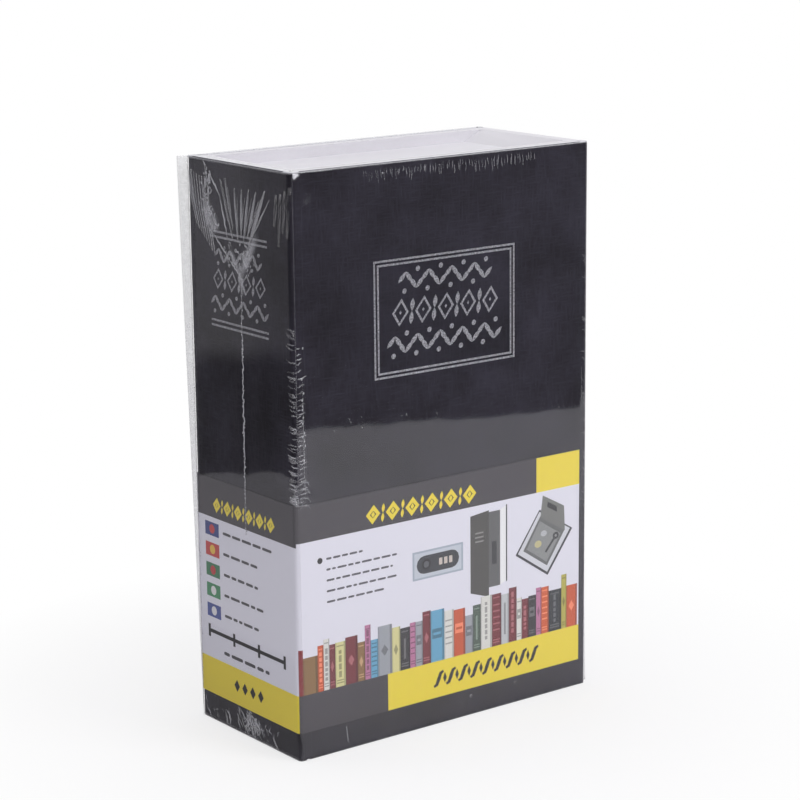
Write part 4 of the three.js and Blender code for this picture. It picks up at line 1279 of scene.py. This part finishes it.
def film_sheet(name, path, positions, heights, u_of, over_band, creases, seed):
    """A sheet of film along a path in plan view, folded over at the head."""
    pleats, lines = creases
    u_places = np.array([u_of(s) for s in positions])
    u, v = np.meshgrid(u_places, heights, indexing="ij")
    gathered = streak_field(u, v, pleats)
    broad, fine, pleat_height = 0.012, 0.004, 0.22
    wave = broad * rippled(u, v, 15.0, seed) + fine * rippled(u, v, 5.0, seed + 3)
    on_paper = np.array([over_band(s) for s in positions])[:, None] * np.ones_like(v)
    lift = film_lift(v, on_paper) + wave + pleat_height * np.clip(gathered, 0, 1.4)
    fold_start = HEIGHT - FILM_FOLD
    fold_end = fold_start + FILM_FOLD * math.pi / 2
    fold_reach = FILM_FOLD + HEIGHT + FILM_FLANGE - fold_end
    vertices = []
    for i, s in enumerate(positions):
        here, normal = along_path(path, s)
        from_corner = min(max(a - s, s - b, 0) for a, b in path[2])
        mitre = min(1, (0.9 * FILM_CORNER + from_corner) / fold_reach)
        for height, z in zip(lift[i], heights):
            turn = min(max((z - fold_start) / FILM_FOLD, 0), math.pi / 2)
            back = FILM_FOLD * (1 - math.cos(turn)) + max(0, z - fold_end)
            x, y = here + normal * (height * math.cos(turn) - back * mitre)
            rise = (FILM_FOLD + max(height, 0.04)) * math.sin(turn)
            vertices.append((x, y, min(z, fold_start) + rise))
    faces = grid_faces(len(positions), len(heights))
    # Milky white on the fold over the head and on the gathered pleats, partly a painted highlight
    folded = 0.85 * smooth(fold_start + 0.35, fold_start + 1.0, v)
    milk_and_highlight = list(np.maximum(np.clip(gathered, 0, 0.85), folded).ravel())

    def lift_at(a, b):
        i = min(int(np.searchsorted(u_places, a)), len(u_places) - 1)
        j = min(int(np.searchsorted(heights, b)), len(heights) - 1)
        return lift[i, j]

    def place(a, b, h):
        here, normal = along_path(path, float(np.interp(a, u_places, positions)))
        return (*(here + normal * h), b)

    more, more_faces, more_milk_and_highlight = crease_lines(lines, place, lift_at)
    faces += [[len(vertices) + corner for corner in face] for face in more_faces]
    return film_piece(name, vertices + more, faces, milk_and_highlight + more_milk_and_highlight, FILM, 1)


def film_on_cover():
    """Film over the front, from the spine's corner to its fold round the fore-edge."""
    start, busy_end = FRONT_FILM_START, 9
    corners = [(start, -BAND_Y), (FORE_EDGE, -BAND_Y), (FORE_EDGE, FILM_FLANGE - BAND_Y)]
    path = rounded_path(corners, FILM_CORNER)
    path[2].append((0, 0))  # it starts where the spine's film has turned its corner
    width = path[1][-1]
    positions = spaced(0, width, 0.2, 1.8, [(-0.5, JOINT_HIGH.x - start + 0.5)])
    positions = sorted({*positions, *spaced(width - busy_end, width, 0.4, 0.4, [])})
    heights = spaced(FILM_FOOT, HEIGHT + FILM_FLANGE, 0.25, 1.5, [(176.5, HEIGHT + 2)])
    end = BAND_END - start

    def on_band(s):
        return 1 - float(smooth(end, end + 1.5, s))

    bend_with_cover(film_sheet(
        "film_front", path, positions, heights, lambda s: start + s, on_band, front_creases(), 1.7
    ))


def film_on_body():
    """Film round the back and the spine, as far as the front's corner."""
    corners = [
        (FORE_EDGE, BAND_Y - FILM_FLANGE), (FORE_EDGE, BAND_Y), (SPINE_X, BAND_Y),
        (SPINE_X, -BAND_Y), (FRONT_FILM_START, -BAND_Y),
    ]
    path = rounded_path(corners, FILM_CORNER)
    length = path[1][-1]
    middle = length - FILM_CORNER * math.pi / 2 - (BAND_Y - FILM_CORNER)
    top = HEIGHT + FILM_FLANGE
    positions = spaced(0, length, 0.45, 3.5, [(middle - BAND_Y - 3, length + 1)])
    heights = spaced(FILM_FOOT, top, 0.5, 1.2, [(138, top)])

    def on_band(s):
        return float(smooth(FILM_FLANGE + 2, FILM_FLANGE + 4, s))

    def u_of(s):
        return s - middle

    creases = spine_creases()
    sheet = film_sheet("film_spine_back", path, positions, heights, u_of, on_band, creases, 4.1)
    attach(sheet, "book_body")


def film_fin(name, body, root, tip, z_high, grows_up):
    """A welded edge of the film that stands off a corner, from its root to its tip."""
    columns, rows, z_low, milk_and_highlight_white, fading = 4, 40, 0.3, 0.42, 0.18
    vertices, milk_and_highlight = [], []
    for j in range(rows + 1):
        share = j / rows if grows_up else 1 - j / rows
        end = Vector(root).lerp(Vector(tip), share ** 0.9)
        milk_and_highlight += [milk_and_highlight_white - fading * share] * (columns + 1)
        for i in range(columns + 1):
            x, y = Vector(root).lerp(end, i / columns)
            vertices.append((x, y, z_low + (z_high - z_low) * j / rows))
    faces = turned_over(grid_faces(rows + 1, columns + 1))
    film_piece(name, vertices, faces, milk_and_highlight, 2 * FILM, -1, body)


def film_fins():
    """Fins behind the spine's back corner and at the foot of the cover's fore-edge."""
    root, tip = (SPINE_X - 0.14, BAND_Y - 1.4), (SPINE_X - 3, BAND_Y + 0.5)
    film_fin("film_fin_spine", "book_body", root, tip, HEIGHT, True)
    root, tip = (FORE_EDGE + 0.2, -BAND_Y + 2.4), (FORE_EDGE + 1.9, -BAND_Y + 2)
    film_fin("film_fin_fore_edge", "front_cover", root, tip, 76, False)


# Stage, light and camera


def pale_floor():
    """A pale floor: the camera sees it fade to white away from the book."""
    material, tree, shader = new_material("pale_floor")
    feed(tree, shader, {
        "Base Color": (0.88, 0.87, 0.91, 1),
        "Roughness": 0.9,
        "Specular IOR Level": 0.1,
    })
    glow = added(tree, "Emission", {"Color": WHITE, "Strength": 1}).outputs[0]
    distance = added(tree, "VectorMath", {0: place_in_mm(tree)}, operation="LENGTH")
    fade = ranged(tree, distance.outputs["Value"], 0.72, 1, 55, 170)
    seen = added(tree, "LightPath", {}).outputs["Is Camera Ray"]
    share = combined(tree, "MULTIPLY", fade, seen)
    show(tree, two_shaders(tree, share, shader.outputs[0], glow))
    return material


def stage_and_light():
    reach, aim = 4000, Vector((0, 0, HEIGHT / 2))
    corners = [(x, y, 0) for x, y in rectangle(-reach, reach, -reach, reach)]
    floor = new_object("floor", mesh_of("floor", corners, [[0, 1, 2, 3]]))
    floor.data.materials.append(pale_floor())

    world = bpy.data.worlds.new("studio")
    bpy.context.scene.world = world
    world.use_nodes = True
    tree = world.node_tree
    # White to the camera and in reflections, but dimmer as a light
    dimmed = 0.43
    rays = added(tree, "LightPath", {}).outputs
    seen = combined(tree, "MAXIMUM", rays["Is Camera Ray"], rays["Is Glossy Ray"])
    seen = combined(tree, "MAXIMUM", seen, rays["Is Transmission Ray"])
    level = combined(tree, "ADD", combined(tree, "MULTIPLY", seen, 1 - dimmed), dimmed)
    feed(tree, tree.nodes["Background"], {"Color": (0.99, 0.985, 1.0, 1), "Strength": level})

    # Lamps: place and side in millimetres, and power in watts
    for name, place, size, watts in (
        ("key", (420, -900, 820), 520, 7.1),
        ("top", (-60, 120, 1150), 620, 2.85),
        ("left", (-950, -260, 520), 520, 0.45),
    ):
        lamp = bpy.data.lights.new(name, "AREA")
        lamp.shape = "SQUARE"
        lamp.size = size * MM
        lamp.energy = watts
        carrier = bpy.data.objects.new(name, lamp)
        bpy.context.scene.collection.objects.link(carrier)
        carrier.location = Vector(place) * MM
        carrier.rotation_euler = (aim - Vector(place)).to_track_quat("-Z", "Y").to_euler()


def reflected_only(name, vertices, faces, low, high, dimmed=None):
    """A card seen only in reflections: its brightness low down and high up, dimmed along x."""
    mesh = mesh_of(name, vertices, faces)
    material, tree, _ = new_material(name)
    place = added(tree, "SeparateXYZ", {0: place_in_mm(tree)}).outputs
    level = ranged(tree, place["Z"], low, high, 50, 60)
    if dimmed:
        level = combined(tree, "MULTIPLY", level, ranged(tree, place["X"], 0.6, 1, *dimmed))
    glow = added(tree, "Emission", {"Color": (0.97, 0.95, 1, 1), "Strength": level})
    show(tree, glow.outputs[0])
    mesh.materials.append(material)
    card = new_object(name, mesh)
    card.visible_camera = False
    card.visible_diffuse = False
    card.visible_shadow = False
    card.visible_transmission = False


def standing_card(name, foot, waves, low, high, dimmed=None):
    """A card on a foot line through points in plan view, moved by waves of (length, reach)."""
    z_low, z_high, step = 0.5, 420, 3
    line, done = [], 0.0
    for a, b in zip(foot, foot[1:]):
        along = Vector(b) - Vector(a)
        across = Vector((-along.y, along.x)).normalized()
        steps = max(1, round(along.length / step))
        for i in range(steps):
            here = done + along.length * i / steps
            off = sum(reach * math.sin(2 * math.pi * here / length) for length, reach in waves)
            line.append(Vector(a) + along * i / steps + across * off)
        done += along.length
    line.append(Vector(foot[-1]))
    vertices = [(x, y, z) for x, y in line for z in (z_low, z_high)]
    reflected_only(name, vertices, grid_faces(len(line), 2), low, high, dimmed)


def cards():
    """What the film mirrors: a dark room above a foot line, and a dimmer floor on the left."""
    front = [(420, -300), (329, -336), (304, -340), (280, -344), (261, -356), (237, -366)]
    front += [(204, -381), (120, -400)]
    corner = [(120, -400), (20, -395), (-90, -350), (-220, -310), (-330, -220), (-400, -90)]
    corner += [(-425, 30), (-390, 130), (-300, 215)]
    spine = [(-300, 215), (-253, 261), (-245, 271), (-228, 283), (-150, 335)]
    standing_card("card_for_front", front, ((19, 1.2), (7, 1.2), (61, 1.5)), 0.0, 0.01)
    standing_card("card_for_corner", corner, (), 0.0, 0.0)
    standing_card("card_for_spine", spine, ((23, 3), (11, 1.5)), 0.02, 0.3, (-252, -238))
    for name, outline, z, level in (
        ("card_on_floor", rectangle(-480, -60, 0, 460), 0.4, 0.42),
        ("card_beside_book", rectangle(-110, -58, -40, 120), 0.8, 0.22),
    ):
        reflected_only(name, [(x, y, z) for x, y in outline], [[0, 1, 2, 3]], level, level)


def camera():
    """The photograph's view: angles in degrees, and a lens from a focal length in pixels."""
    azimuth, elevation, roll = map(math.radians, (-37.15, 12.83, -0.61))
    distance, target = 772.0, Vector((2.65, 0, 99.41))
    focal, picture_width, sensor = 2427.27, 800, 36
    level = math.cos(elevation)
    back = Vector((math.sin(azimuth) * level, -math.cos(azimuth) * level, math.sin(elevation)))
    right = Vector((math.cos(azimuth), math.sin(azimuth), 0))
    up = back.cross(right)
    rolled_right = right * math.cos(roll) + up * math.sin(roll)
    rolled_up = up * math.cos(roll) - right * math.sin(roll)
    data = bpy.data.cameras.new("photo_view")
    data.sensor_width = sensor
    data.lens = focal / picture_width * sensor
    data.clip_start = 0.01
    data.clip_end = 50
    made = bpy.data.objects.new("photo_view", data)
    bpy.context.scene.collection.objects.link(made)
    turned = Matrix((rolled_right, rolled_up, back)).transposed().to_4x4()
    made.matrix_world = Matrix.Translation((target + back * distance) * MM) @ turned
    bpy.context.scene.camera = made


dress_frame()
eased_nodes()
joint_cloth()
page_edges()
screws()
wheel_digits()
lock_marks()
foil_on_cover()
foil_on_spine()
print_on_front()
print_on_spine()
print_on_back()
film_on_cover()
film_on_body()
film_fins()
stage_and_light()
cards()
camera()
bpy.context.scene.view_settings.view_transform = "Standard"
